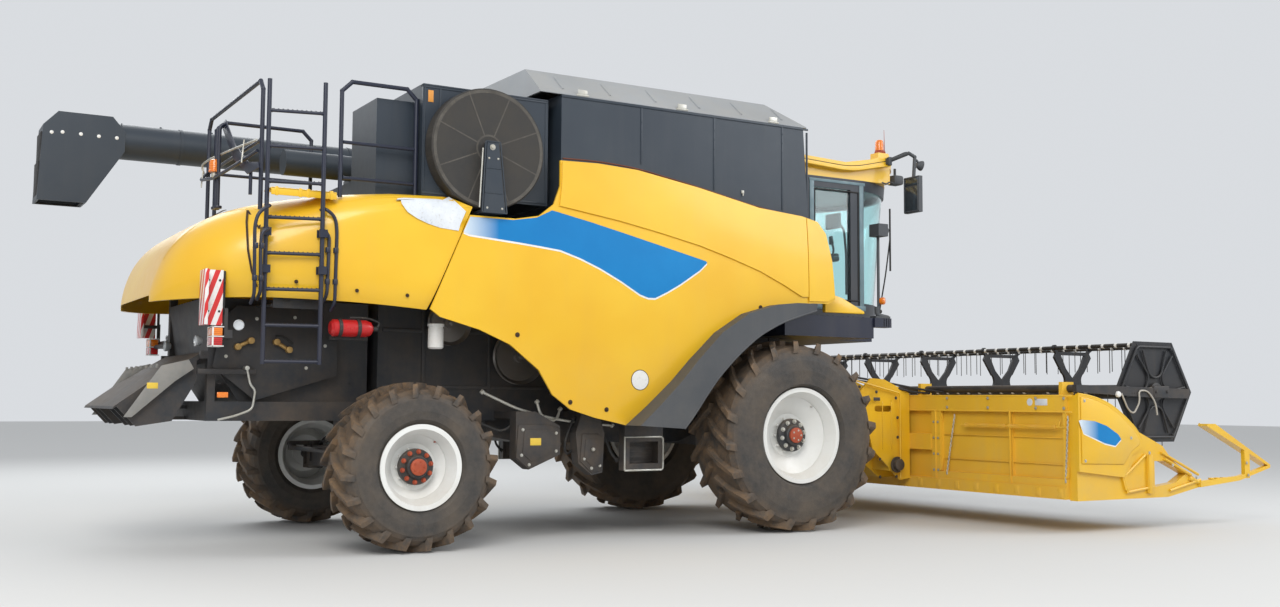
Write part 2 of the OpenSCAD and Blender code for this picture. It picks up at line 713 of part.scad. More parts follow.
module rear_hood() {
    last = len(hood_stations) - 1;
    rings = [for (k = [0 : last]) let (inner = hood_ring(k, hood_t))
        concat(hood_ring(k, 0), [for (i = [len(inner) - 1 : -1 : 0]) inner[i]])];
    n = len(rings[0]);
    end = last * n;
    points = [for (ring = rings) each ring];
    caps = [for (i = [0 : n / 2 - 2]) let (j = n - 1 - i)
        each [[i, i + 1, j - 1], [i, j - 1, j], [end + i + 1, end + i, end + j], [end + i + 1, end + j, end + j - 1]]];
    faces = concat(caps,
        [for (k = [0 : last - 1], i = [0 : n - 1]) let (a = k * n + i, b = k * n + (i + 1) % n)
            each [[b, a, a + n], [b + n, b, a + n]]]);
    color(yellow) place() difference() {
        polyhedron(points, faces);
        // hollow round the dust screen
        cross_shaft(screen_x, screen_z, -shield_y - 10, -bay_y + 10, screen_r + 2 * swing_gap);
    }
}

// Chopper and spreader

chopper_front_x = -3760;
chopper_rear_x = -5000;
deflector_x = -5090;
deflector_z = 1510;
deflector_pin_r = 12;
hinge_pin_y = body_y - 5;

module chopper() {
    half = body_y - rail_t - seat_gap;
    color(steel_dark) place() side_slab(-half, half) polygon([[chopper_front_x, body_floor_z],
        [chopper_front_x, 1960], [chopper_rear_x - 70, 1960], [chopper_rear_x, 1450], [-4700, 1000], [-4000, 1000]]);
}

module straw_deflector() {
    half = body_y - 60;
    fin_t = 16;
    color(steel_dark) place() {
        side_slab(-half, half) polygon([[deflector_x, deflector_z - 20], [deflector_x, deflector_z + 20],
            [-5450, 1310], [-5720, 1110], [-5730, 1090], [-5440, 1270]]);
        cross_shaft(deflector_x, deflector_z, -hinge_pin_y, hinge_pin_y, deflector_pin_r);
        // guide fins, none over the hitch
        both_sides() for (y = [240, 480, half - fin_t])
            side_slab(-y - fin_t, -y) polygon([[-5130, deflector_z - 10], [-5440, 1290], [-5700, 1110],
                [-5560, 960], [-5300, 1000], [-5130, 1300]]);
    }
}

// Platforms, rails and ladders

rail_r = 17;
deck_low_z = 1790;
deck_z = 1990;
guard_x = -4800;
guard_y = 600;
ladder_clip_z = [2110, 2390];

// a rail leg's foot on the hood's roof
function rail_foot(x, y) = hood_roof(x + 20, abs(y) - 20) + seat_gap;

module platforms() {
    color(navy) place() {
        difference() {
            union() {
                // front platforms round the cab
                block([-20, -1450, deck_low_z], [1050, -cab_y + 1, deck_z]);
                block([1049, -1470, deck_z - 90], [1260, -1370, deck_z]);
                block([236, cab_y - 1, deck_low_z], [1500, 1560, deck_z]);
                block([body_front_x + seat_gap, -cab_y, deck_low_z], [1500, cab_y, deck_z]);
            }
            translate([cab_ladder_x, cab_ladder_y, deck_low_z - 1])
                cylinder(h = ladder_pin_l + 4, r = ladder_pin_r + run_gap);
        }
        // left platform rail
        tube_run([[640, 1540, deck_z - 5], [640, 1540, 2900], [1000, 1540, 2900], [1000, 1540, deck_z - 5]], rail_r);
        // clips that guide the rear ladder
        for (side = [0, 1], z = ladder_clip_z) {
            x = ladder_rear_x + side * ladder_w;
            inner = x + (1 - 2 * side) * 40;
            difference() {
                block([x - 32, ladder_side(x) - 38, z], [x + 32, -hood_value(x + 32, 1) - seat_gap, z + 60]);
                translate([x, ladder_side(x), z - 1]) cylinder(h = 62, r = rail_r + run_gap);
                // open towards the rungs, which pass as the ladder slides
                block([min(x, inner), ladder_side(x) - 28, z - 1], [max(x, inner), ladder_side(x) + 28, z + 61]);
            }
        }
    }
}

// rails of the deck behind the tank: the loop in front of the ladder and the guard behind it
module deck_rails() {
    color(navy) place() {
        y = -1380;
        tube_run([[-4240, y, rail_foot(-4240, y)], [-4240, y, 3560], [-4160, y, 3640], [-3710, y, 3640],
            [-3630, y, 3560], [-3630, y, rail_foot(-3630, y)]], rail_r);
        for (z = [2880, 3160])
            rod([-4240 + rail_r + seat_gap, y, z], [-3630 - rail_r - seat_gap, y, z], rail_r - 3);
        side_y = guard_y - rail_r - seat_gap;
        tube_run([[guard_x, -1200, rail_foot(guard_x, -1200)], [guard_x, -1200, 3540], [guard_x, -1120, 3620],
            [guard_x, guard_y - 80, 3620], [guard_x, guard_y, 3540],
            [guard_x, guard_y, rail_foot(guard_x, guard_y)]], rail_r);
        rod([guard_x, -1200 + rail_r + seat_gap, 3150], [guard_x, side_y, 3150], rail_r - 3);
        side_x = guard_x + 60;
        tube_run([[side_x, guard_y, rail_foot(side_x, guard_y)], [side_x, guard_y, 3540],
            [side_x + 80, guard_y, 3620], [-3970, guard_y, 3620], [-3890, guard_y, 3540],
            [-3890, guard_y, rail_foot(-3890, guard_y)]], rail_r);
        rod([side_x + rail_r + seat_gap, guard_y, 3150], [-3890 - rail_r - seat_gap, guard_y, 3150], rail_r - 3);
    }
}

module auger_tower() {
    color(steel_dark) place() {
        translate([auger_x, auger_y, deck_z + seat_gap])
            cylinder(h = auger_z - auger_r - deck_z - 2 * seat_gap, r = auger_r + 8);
    }
}

module unloading_auger() {
    tube_end = spout_back_x + 600;
    color(steel_dark) place() {
        // elbow over the tower and the tube laid back along the tank
        translate([auger_x, auger_y, auger_z - auger_r]) cylinder(h = auger_r, r = auger_r + 8);
        intersection() {
            translate([auger_x, auger_y, auger_z]) sphere(r = auger_r + 8);
            block([auger_x - 200, auger_y - 200, auger_z - auger_r], [auger_x + 200, auger_y + 200, auger_z + 200]);
        }
        translate([tube_end - 60, auger_y, auger_z]) rotate([0, 90, 0])
            cylinder(h = auger_x - tube_end + 60, r = auger_r);
        // spout
        difference() {
            side_slab(auger_y - auger_r - 8, auger_y + auger_r + 8) polygon([[spout_back_x, auger_z - 606],
                [spout_back_x + 400, auger_z - 606], [tube_end + 110, auger_z - 115], [tube_end + 110, auger_z + 60],
                [tube_end, auger_z + auger_r + 30], [spout_back_x + 150, auger_z + auger_r + 30],
                [spout_back_x + 30, auger_z + 60]]);
            side_slab(auger_y - auger_r + 10, auger_y + auger_r - 10) polygon([[spout_back_x + 18, auger_z - 607],
                [spout_back_x + 382, auger_z - 607], [tube_end - 100, auger_z - 130], [tube_end - 100, auger_z + 100],
                [spout_back_x + 160, auger_z + 100], [spout_back_x + 48, auger_z + 20]]);
        }
    }
}

ladder_front_y = 1480;
ladder_turn = 13;
ladder_rear_x = -4800;
ladder_w = 400;
ladder_low_z = 1430;
ladder_top_z = 3580;
rung_step = 270;

// distance of a ladder rail from the middle, the ladder being turned with the hood's side
function ladder_side(x) = -ladder_front_y + (ladder_rear_x + ladder_w - x) * tan(ladder_turn);

module rear_ladder() {
    front = ladder_rear_x + ladder_w;
    color(navy) place() {
        for (x = [ladder_rear_x, front])
            rod([x, ladder_side(x), ladder_low_z], [x, ladder_side(x), ladder_top_z], rail_r, 64);
        for (z = [ladder_low_z + 20 : rung_step : ladder_top_z])
            rod([ladder_rear_x, ladder_side(ladder_rear_x), z], [front, ladder_side(front), z], rail_r - 4);
    }
}

cab_ladder_y = 1500;
cab_ladder_x = 960;
ladder_pin_r = 12;
ladder_pin_l = 60;

module cab_ladder() {
    top = deck_low_z - swing_gap;
    color(navy) place() {
        for (x = [cab_ladder_x, cab_ladder_x + 460]) rod([x, cab_ladder_y, 500], [x, cab_ladder_y, top], 20);
        translate([cab_ladder_x, cab_ladder_y, top - 1]) cylinder(h = swing_gap + ladder_pin_l, r = ladder_pin_r);
        for (z = [500 : 300 : 1700])
            block([cab_ladder_x, cab_ladder_y - 60, z - 15], [cab_ladder_x + 460, cab_ladder_y + 60, z + 15]);
    }
}

// Cab

glass_lean = 6;
glass_mid_z = 2850;
screen_axis_x = 1190;
door_x0 = 760;
door_x1 = 1230;
sill_z = 2180;
lintel_z = 3330;
door_hinge_z = [2300, 3100];
hinge_x = door_x0 + swing_gap;
hinge_y = cab_y + 18;
hinge_pin_r = 8;

// plan of the cab with its curved front, drawn between two heights
module cab_plan(inset, low, high) {
    intersection() {
        block([cab_rear_x + inset, -cab_y + inset, low], [2400, cab_y - inset, high]);
        union() {
            block([cab_rear_x, -cab_y, low - 1], [1320, cab_y, high + 1]);
            translate([screen_axis_x, 0, glass_mid_z]) rotate([0, glass_lean, 0])
                translate([0, 0, -1200]) cylinder(h = 2400, r = screen_glass_r - inset, $fn = 128);
        }
    }
}

module cab_frame() {
    color(steel_dark) place() difference() {
        cab_plan(0, cab_floor_z - 70, cab_top_z);
        cab_plan(cab_t, cab_floor_z, cab_top_z - cab_t);
        // windscreen
        block([1410, -cab_y - 1, sill_z], [2400, cab_y + 1, lintel_z]);
        // right side window and the door's opening
        block([door_x0, -cab_y - 1, sill_z], [door_x1, -cab_y + cab_t + 1, lintel_z]);
        block([door_x0, cab_y - cab_t - 1, cab_floor_z], [door_x1, cab_y + 1, lintel_z]);
        // rear window
        block([cab_rear_x - 1, -560, 2700], [cab_rear_x + cab_t + 1, 560, lintel_z]);
    }
    // brackets and pins of the door's hinges
    color(steel_dark) place() for (z = door_hinge_z) {
        block([hinge_x - 45, cab_y - 1, z - 16], [door_x0 - 1, hinge_y, z - 1]);
        block([hinge_x - 45, cab_y + swing_gap, z - 16], [hinge_x + 12, hinge_y + 12, z - 1]);
        translate([hinge_x, hinge_y, z - 2]) cylinder(h = 50, r = hinge_pin_r);
    }
}

module cab_glass() {
    color(glass_blue, 0.5) place() {
        // curved windscreen in its frame
        intersection() {
            difference() {
                cab_plan(20, sill_z, lintel_z);
                cab_plan(20 + glass_t, sill_z - 10, lintel_z + 10);
            }
            block([1410.3, -cab_y, sill_z + 0.3], [2400, cab_y, lintel_z - 0.3]);
        }
        block([door_x0 + 0.3, -cab_y + 20, sill_z + 0.3], [door_x1 - 0.3, -cab_y + 20 + glass_t, lintel_z - 0.3]);
        block([cab_rear_x + 20, -559.7, 2700.3], [cab_rear_x + 20 + glass_t, 559.7, lintel_z - 0.3]);
    }
}

module cab_door() {
    gap = swing_gap;
    color(steel_dark) place() difference() {
        block([door_x0 + gap, cab_y - cab_t + 10, cab_floor_z + gap], [door_x1 - gap, cab_y, lintel_z - gap]);
        block([door_x0 + 60, cab_y - cab_t, cab_floor_z + 90], [door_x1 - 60, cab_y - 36, lintel_z - 60]);
        block([door_x0 + 60, cab_y - 26, cab_floor_z + 90], [door_x1 - 60, cab_y + 10, lintel_z - 60]);
    }
    // hinge eyes
    color(steel_dark) place() for (z = door_hinge_z) difference() {
        union() {
            translate([hinge_x, hinge_y, z]) cylinder(h = 44, r = 12);
            block([hinge_x + 4, cab_y - 1, z], [hinge_x + 50, hinge_y + 6, z + 44]);
        }
        translate([hinge_x, hinge_y, z - 1]) cylinder(h = 46, r = hinge_pin_r + run_gap);
    }
}

module roof_plan(inset = 0) {
    translate([0, 0, 3300]) linear_extrude(600) union() {
        translate([500 + inset, -cab_y - 60 + inset]) square([1200, 2 * (cab_y + 60 - inset)]);
        intersection() {
            translate([1120, 0]) circle(r = 1090 - inset, $fn = 128);
            translate([1100, -cab_y - 60 + inset]) square([1200, 2 * (cab_y + 60 - inset)]);
        }
    }
}

module cab_roof() {
    crown_r = 12000;
    low = cab_top_z + seat_gap;
    color(yellow) place() {
        // the lip, rising to the front, under a slight crown
        intersection() {
            side_slab(-cab_y - 80, cab_y + 80) polygon([[540, 3545], [540, 3625], [1120, 3600], [1450, 3660], [1720, 3735],
                [2030, 3740], [2200, 3655], [2200, 3600], [2060, 3610], [1720, 3615], [1450, 3565], [1120, 3515]]);
            roof_plan();
            translate([0, 0, 3775 - crown_r]) rotate([0, 90, 0]) cylinder(h = 2400, r = crown_r, $fn = 360);
        }
        // the ceiling box below it
        intersection() {
            side_slab(-cab_y, cab_y) polygon([[560, low], [560, 3560], [1120, 3530], [1450, 3580], [1720, 3630], [2040, 3625],
                [2120, 3612], [2040, 3520], [1960, low]]);
            roof_plan(70);
        }
        // pads for the beacons
        both_sides() block([1560, -950, 3640], [1700, -830, beacon_z - seat_gap]);
    }
}

module cab_seat() {
    color(steel_dark) place() {
        // seat on its post, then the steering column and the side console
        block([1000, -90, cab_floor_z + seat_gap], [1220, 90, 2400]);
        block([900, -250, 2400], [1360, 250, 2520]);
        side_slab(-240, 240) polygon([[880, 2400], [1010, 2400], [950, 3120], [830, 3120]]);
        rod([1650, 0, cab_floor_z + 10], [1560, 0, 2700], 40);
        translate([1560, 0, 2700]) rotate([0, -25, 0]) rotate_extrude($fn = 48) translate([190, 0]) circle(r = 16, $fn = 16);
        translate([1560, 0, 2700]) rotate([0, -25, 0]) block([-190, -20, -10], [190, 20, 10]);
        block([1450, -160, cab_floor_z + seat_gap], [1700, 160, cab_floor_z + 60]);
    }
}

mirror_y = 1180;
beacon_z = 3745;

module mirrors() {
    color(steel_dark) place() both_sides() {
        // mirror on its arm from the roof's front corner
        block([1650, -cab_y - 90, 3630], [1710, -cab_y - 60 - seat_gap, 3690]);
        tube_run([[1680, -cab_y - 82, 3660], [1770, -mirror_y, 3720], [1850, -mirror_y, 3690],
            [1830, -mirror_y, 3440]], 18);
        block([1800, -mirror_y - 110, 3110], [1850, -mirror_y + 110, 3480]);
        // marker post with its twin lamp on the platform's corner
        block([1070, -1465, deck_z + seat_gap], [1250, -1375, deck_z + 20]);
        rod([1140, -1420, deck_z + 10], [1140, -1420, 2800], 14);
        block([1080, -1500, 2790], [1200, -1360, 2910]);
    }
}

module lamps() {
    color("orange") place() {
        // beacons on the roof
        both_sides() translate([1630, -890, beacon_z]) cylinder(h = 150, r = 52);
        // tail lamps on the tail bar and the striped boards over them
        both_sides() {
            block([-5140, -1290, 1560], [rail_rear_x - seat_gap, -1130, 1700]);
            block([-5205, -1276, 1706], [rail_rear_x - seat_gap, -1270, 2126]);
            block([rail_rear_x - 30, -1270, 1780], [rail_rear_x - seat_gap, -1262, 1820]);
        }
    }
}

// Feeder house and header

lift_y = 420;
lift_base_x = 210;
lift_base_z = 760;
lift_eye_x = 1230;
lift_eye_z = 740;
lift_pin_r = 20;
lift_drift = 8;        // play of the rod's eye on its pin
lift_cheek = 18;      // thickness of a clevis's ear
lift_eye_w = 28;      // half width of a cylinder's eye
lift_barrel_r = 45;
lift_rod_r = 25;
lift_barrel_end = 700;
feeder_pivot_x = 520;
feeder_pivot_z = 1600;
feeder_pin_r = 40;
feeder_y = 640;
feeder_t = 20;
feeder_plate_y = feeder_y + 12;
feeder_front_x = header_back_x - 60 - seat_gap;
side_plate_y = 900;
side_plate_t = 16;

module feeder_house() {
    color(yellow) place() {
        difference() {
            side_slab(-feeder_y, feeder_y) polygon([[470, 1380], [470, 1690], [620, 1720], [feeder_front_x, 1200],
                [feeder_front_x, 400], [1800, 400]]);
            side_slab(-feeder_y + feeder_t, feeder_y - feeder_t) polygon([[469, 1410], [469, 1665], [620, 1695],
                [feeder_front_x + 1, 1175], [feeder_front_x + 1, 430], [1808, 430]]);
        }
        // pins it hangs on
        both_sides() cross_shaft(feeder_pivot_x, feeder_pivot_z, -feeder_y + 1, -feeder_plate_y - 40, feeder_pin_r);
        // side plates of the front frame with their slot, and the arms that carry them
        both_sides() {
            side_slab(-side_plate_y, -side_plate_y + side_plate_t) difference() {
                polygon([[1340, 1290], [1480, 1420], [1660, 1410], [feeder_front_x, 1270], [feeder_front_x, 400],
                    [1860, 380], [1500, 700]]);
                translate([1560, 1080]) square([170, 60]);
                for (x = [1560, 1730]) translate([x, 1110]) circle(r = 30);
            }
            block([1720, -side_plate_y + 1, 480], [1900, -feeder_y + 1, 640]);
            block([1720, -side_plate_y + 1, 900], [1900, -feeder_y + 1, 1060]);
            cross_shaft(1820, 560, -side_plate_y - 40, -side_plate_y + 2, 50);
        }
        // clevises that take the lift rods
        both_sides() {
            difference() {
                side_slab(-lift_y - lift_eye_w - 3 - lift_cheek, -lift_y + lift_eye_w + 3 + lift_cheek)
                    polygon([[lift_eye_x - 50, lift_eye_z - 45], [lift_eye_x + 50, lift_eye_z - 45],
                        [lift_eye_x + 130, lift_eye_z - 4], [lift_eye_x - 130, lift_eye_z + 187]]);
                block([lift_eye_x - 200, -lift_y - lift_eye_w - 3, lift_eye_z - 100],
                    [lift_eye_x + 200, -lift_y + lift_eye_w + 3, lift_eye_z + 52]);
            }
            cross_shaft(lift_eye_x, lift_eye_z, -lift_y - lift_eye_w - 4, -lift_y + lift_eye_w + 4, lift_pin_r);
        }
    }
}

lift_reach = norm([lift_eye_x - lift_base_x, lift_eye_z - lift_base_z]);
lift_dir = [lift_eye_x - lift_base_x, 0, lift_eye_z - lift_base_z] / lift_reach;
lift_base = [lift_base_x, -lift_y, lift_base_z];

// eye of a lift cylinder, bored for its pin
module lift_eye(x, z, gap = run_gap) {
    difference() {
        cross_shaft(x, z, -lift_y - lift_eye_w, -lift_y + lift_eye_w, 40);
        cross_shaft(x, z, -lift_y - lift_eye_w - 1, -lift_y + lift_eye_w + 1, lift_pin_r + gap);
    }
}

module lift_barrels() {
    color(steel_dark) place() both_sides() {
        lift_eye(lift_base_x, lift_base_z);
        rod(lift_base + lift_dir * 34, lift_base + lift_dir * 70, 24, 48);
        difference() {
            rod(lift_base + lift_dir * 60, lift_base + lift_dir * lift_barrel_end, lift_barrel_r, 48);
            rod(lift_base + lift_dir * 150, lift_base + lift_dir * (lift_barrel_end + 1), lift_rod_r + run_gap, 48);
        }
    }
}

module lift_rods() {
    color(rim_white) place() both_sides() {
        rod(lift_base + lift_dir * 260, lift_base + lift_dir * (lift_reach - 34), lift_rod_r, 48);
        lift_eye(lift_eye_x, lift_eye_z, lift_drift);
    }
}

table_auger_x = 2470;
table_auger_z = 690;
knife_x = 3230;
knife_z = 330;
sheet_t = 12;
end_t = 120;
trough_r = table_auger_r + 25;
arm_pivot_x = 2140;
arm_pivot_z = 1310;
arm_shaft_r = 35;
arm_bearing_y = [-2850, -1000, 1000, 2850];

module header_frame() {
    half = header_y - end_t - seat_gap;
    color(yellow) place() {
        difference() {
            union() {
                // back sheet, trough and floor out to the knife
                side_slab(-half, half) polygon(concat(
                    [[header_back_x, 1250], [header_back_x, 320], [knife_x, knife_z - 20], [knife_x, knife_z]],
                    [for (a = [-60 : -15 : -165]) [table_auger_x + trough_r * cos(a), table_auger_z + trough_r * sin(a)]],
                    [[header_back_x + sheet_t, 800], [header_back_x + sheet_t, 1250]]));
                // top beam and lower beam
                block([header_back_x - 50, -half, 1100], [header_back_x + 50, half, 1250]);
                block([header_back_x - 60, -half, 310], [header_back_x + 1, half, 420]);
                // frames round the back sheet's panels and their middle ribs
                both_sides() {
                    block([header_back_x - 45, -1330, 419], [header_back_x + 1, -1210, 1101]);
                    block([header_back_x - 45, -half, 419], [header_back_x + 1, -half + 30, 1101]);
                    block([header_back_x - 24, -2275, 419], [header_back_x + 1, -2255, 1101]);
                    block([header_back_x - 45, -half, 419], [header_back_x + 1, -1210, 490]);
                    block([header_back_x - 60, -1210, 700], [header_back_x + 1, -side_plate_y + 60, 860]);
                }
            }
            // opening into the feeder house
            block([header_back_x - 70, -feeder_y + 30, 440], [header_back_x + 60, feeder_y - 30, 1090]);
        }
        // bearings of the shaft that carries the reel's arms
        for (y = arm_bearing_y) difference() {
            block([header_back_x - 10, y - 20, 1240], [arm_pivot_x + 60, y + 20, arm_pivot_z + 60]);
            cross_shaft(arm_pivot_x, arm_pivot_z, y - 21, y + 21, arm_shaft_r + run_gap);
        }
        // stub shafts of the table auger
        both_sides() cross_shaft(table_auger_x, table_auger_z, -half, -half + 100, 40);
    }
}

// end plate, its proud shield and the ribbed frame that runs out to the divider
end_plate = [[header_back_x - 10, 1250], [2410, 1200], [2640, 1080], [2880, 920], [3230, 780], [3370, 640], [3730, 450],
    [3800, 420], [3760, 380], [3300, 300], [header_back_x, 300]];
end_shield = [[header_back_x - 10, 1262], [2250, 1240], [2450, 1185], [2640, 1085], [2830, 945], [2900, 850], [2905, 780],
    [2760, 700], [2650, 500], [header_back_x - 10, 565]];
end_window = [[3110, 640], [3240, 640], [3560, 510], [3400, 430], [3110, 400]];

module header_ends() {
    color(yellow) place() both_sides() {
        side_slab(-header_y + 32, -header_y + end_t) difference() {
            polygon(end_plate);
            polygon(end_window);
        }
        side_slab(-header_y, -header_y + 33) polygon(end_shield);
        side_slab(-header_y + 12, -header_y + 33) {
            polygon([[2990, 350], [3060, 350], [3060, 700], [2990, 700]]);
            polygon([[2640, 500], [2760, 700], [2820, 700], [2700, 500], [2740, 380], [2680, 380]]);
        }
        // divider: bar, post and the sloping top plate
        side_slab(-header_y, -header_y + 40) polygon([[3740, 380], [4340, 430], [divider_tip_x, 545], [divider_tip_x, 575],
            [4340, 475], [3740, 440]]);
        side_slab(-header_y, -header_y + 100) polygon([[3860, 985], [3980, 985], [divider_tip_x, 575],
            [divider_tip_x, 550], [4500, 690], [3850, 965]]);
        side_slab(-header_y, -header_y + 40) polygon([[4420, 450], [4500, 450], [4500, 730], [4420, 760]]);
    }
}

module cutter_bar() {
    half = header_y - end_t - 20;
    count = floor(2 * (half - 20) / finger_pitch);
    start = -count * finger_pitch / 2;
    color(steel_dark) place() {
        translate([0, 0, knife_z + seat_gap - 22]) linear_extrude(14) polygon(concat(
            [[knife_x + 0.3, -half], [knife_x + 40, -half]],
            [for (i = [0 : count - 1]) let (y = start + i * finger_pitch)
                each [[knife_x + 40, y + 8], [knife_x + 125, y + finger_pitch / 2 - 5],
                    [knife_x + 125, y + finger_pitch / 2 + 5], [knife_x + 40, y + finger_pitch - 8]]],
            [[knife_x + 40, half], [knife_x + 0.3, half]]));
    }
}

flight_t = 8;
flight_steps = 16;
// a flight's flat steps clear the round tube
flight_inner_r = table_tube_r / cos(180 / flight_steps) + seat_gap;

// one hand of flighting from y0 to y1, wound on the table auger's tube
module flight(y0, y1) {
    turns = abs(y1 - y0) / flight_pitch;
    n = floor(turns * flight_steps);
    way = y1 > y0 ? 1 : -1;
    points = [for (i = [0 : n]) let (a = 360 * i / flight_steps, y = y0 + way * flight_pitch * i / flight_steps)
        each [for (p = [[flight_inner_r, -1], [table_auger_r, -1], [table_auger_r, 1], [flight_inner_r, 1]])
            [p[0] * cos(a), y + p[1] * flight_t / 2, p[0] * sin(a)]]];
    faces = concat([[0, 1, 2, 3], [4 * n + 3, 4 * n + 2, 4 * n + 1, 4 * n]],
        [for (k = [0 : n - 1], j = [0 : 3]) let (a = 4 * k + j, b = 4 * k + (j + 1) % 4)
            each (j < 2 ? [[a, a + 4, b], [b, a + 4, b + 4]] : [[a, a + 4, b + 4], [a, b + 4, b]])]);
    polyhedron(points, faces);
}

module table_auger() {
    half = header_y - end_t - 20;
    color(steel_dark) place() translate([table_auger_x, 0, table_auger_z]) {
        difference() {
            cross_shaft(0, 0, -half, half, table_tube_r);
            for (s = [right, left]) cross_shaft(0, 0, s * (half + 1), s * (half - 100), 40 + run_gap);
        }
        flight(-half + 20, -feeder_y + 100);
        flight(half - 20, feeder_y - 100);
        // retracting fingers in the middle
        for (i = [-3 : 3]) rotate([0, 55 * i, 0]) rod([table_tube_r - 20, 150 * i, 0], [table_auger_r - 10, 150 * i, 0], 8, 12);
    }
}

arm_y = header_y - 60;
reel_shaft_r = 30;
reel_end_y = arm_y - 60;

module reel_arms() {
    color(steel_dark) place() {
        both_sides() {
            side_slab(-arm_y, -arm_y + 45) polygon([[arm_pivot_x - 40, arm_pivot_z - 30], [arm_pivot_x - 40, arm_pivot_z + 35],
                [3680, reel_z + 30], [3680, reel_z - 60], [3200, reel_z - 60]]);
            cross_shaft(reel_x, reel_z, -arm_y + 1, -reel_end_y + 60, reel_shaft_r);
        }
        cross_shaft(arm_pivot_x, arm_pivot_z, -arm_y + 1, arm_y - 1, arm_shaft_r);
    }
}

hub_r = 70;
spider_t = 24;

// a spider's open frame: every second side of the hexagon is left open
module spider_outline(rim = 36) {
    difference() {
        union() {
            circle(r = reel_r - 40, $fn = 6);
            for (i = [0 : 5]) rotate(60 * i) translate([reel_r, 0]) circle(r = tine_bar_r + 14, $fn = 24);
            for (i = [0 : 5]) rotate(60 * i) translate([reel_r - 80, -18]) square([80, 36]);
        }
        for (i = [0 : 5]) rotate(60 * i) translate([reel_r, 0]) circle(r = tine_bar_r + 0.09, $fn = 24);
        for (i = [0 : 2 : 4]) rotate(60 * i + 30) {
            translate([0.46 * reel_r, 0]) circle(r = 0.17 * reel_r, $fn = 32);
            polygon([[0.46 * reel_r, -0.17 * reel_r], [0.46 * reel_r, 0.17 * reel_r],
                [reel_r, 0.42 * reel_r], [reel_r, -0.42 * reel_r]]);
        }
        for (i = [1 : 2 : 5]) rotate(60 * i + 30)
            polygon([[0.26 * reel_r, 0], [0.46 * reel_r, 0.2 * reel_r], [0.80 * reel_r - rim, 0.34 * reel_r],
                [0.80 * reel_r - rim, -0.34 * reel_r], [0.46 * reel_r, -0.2 * reel_r]]);
    }
}

module reel() {
    gap = 2 * (reel_end_y - 30) / (spider_count + 1);
    color(rubber) place() translate([reel_x, 0, reel_z]) {
        difference() {
            cross_shaft(0, 0, -reel_end_y, reel_end_y, hub_r);
            for (s = [right, left]) cross_shaft(0, 0, s * (reel_end_y + 1), s * (reel_end_y - 70), reel_shaft_r + run_gap);
        }
        for (i = [1 : spider_count]) translate([0, -reel_end_y + 30 + gap * i + spider_t / 2, 0]) rotate([90, 0, 0])
            linear_extrude(spider_t) spider_outline();
        // end plates
        both_sides() translate([0, -reel_end_y + 30, 0]) rotate([90, 0, 0]) linear_extrude(12) difference() {
            circle(r = reel_r + 40, $fn = 6);
            for (i = [0 : 5]) rotate(60 * i) translate([reel_r, 0]) circle(r = tine_bar_r + 0.09, $fn = 24);
            circle(r = hub_r - 10);
        }
    }
}

// tine bar number i, its tines hanging straight down
module tine_bar(i) {
    half = reel_end_y - 20;
    gap = 2 * (reel_end_y - 30) / (spider_count + 1);
    x = reel_x + reel_r * cos(60 * i);
    z = reel_z + reel_r * sin(60 * i);
    count = floor((gap - 100) / tine_pitch);
    color(steel_dark) place() translate([x, 0, z]) {
        cross_shaft(0, 0, -half, half, tine_bar_r);
        for (k = [0 : spider_count], j = [0 : count]) {
            y = -reel_end_y + 30 + gap * (k + 0.5) + (j - count / 2) * tine_pitch;
            translate([0, y, -tine_bar_r - tine_l]) cylinder(h = tine_l + tine_bar_r, r = 5, $fn = 4);
        }
    }
}

chassis_frame();
side_brackets();
tail_frame();
front_axle();
rear_axle();
threshing_body();
grain_tank();
engine_bay();
engine();
rear_hood();
chopper();
platforms();
deck_rails();
auger_tower();
cab_frame();
cab_glass();
cab_roof();
cab_seat();
mirrors();
lamps();
front_tyre(right);  // front_tyre_right
front_tyre(left);  // front_tyre_left
rear_tyre(right);  // rear_tyre_right
rear_tyre(left);  // rear_tyre_left
front_rim(right);  // front_rim_right
front_rim(left);  // front_rim_left
rear_rim(right);  // rear_rim_right
rear_rim(left);  // rear_rim_left
knuckle(right);  // knuckle_right
knuckle(left);  // knuckle_left
tie_rod();
side_shield(right);  // side_shield_right
side_shield(left);  // side_shield_left
fender(right);  // fender_right
fender(left);  // fender_left
tank_cover(right);  // tank_cover_right
tank_cover(left);  // tank_cover_left
dust_screen();
unloading_auger();
cab_door();
cab_ladder();
rear_ladder();
straw_deflector();
feeder_house();
lift_barrels();
lift_rods();
header_frame();
header_ends();
cutter_bar();
table_auger();
reel_arms();
reel();
tine_bar(1);  // tine_bar_1
tine_bar(2);  // tine_bar_2
tine_bar(3);  // tine_bar_3
tine_bar(4);  // tine_bar_4
tine_bar(5);  // tine_bar_5
tine_bar(6);  // tine_bar_6
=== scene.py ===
import json
import math

import bmesh
import bpy
from mathutils import Matrix, Vector
from mathutils.bvhtree import BVHTree


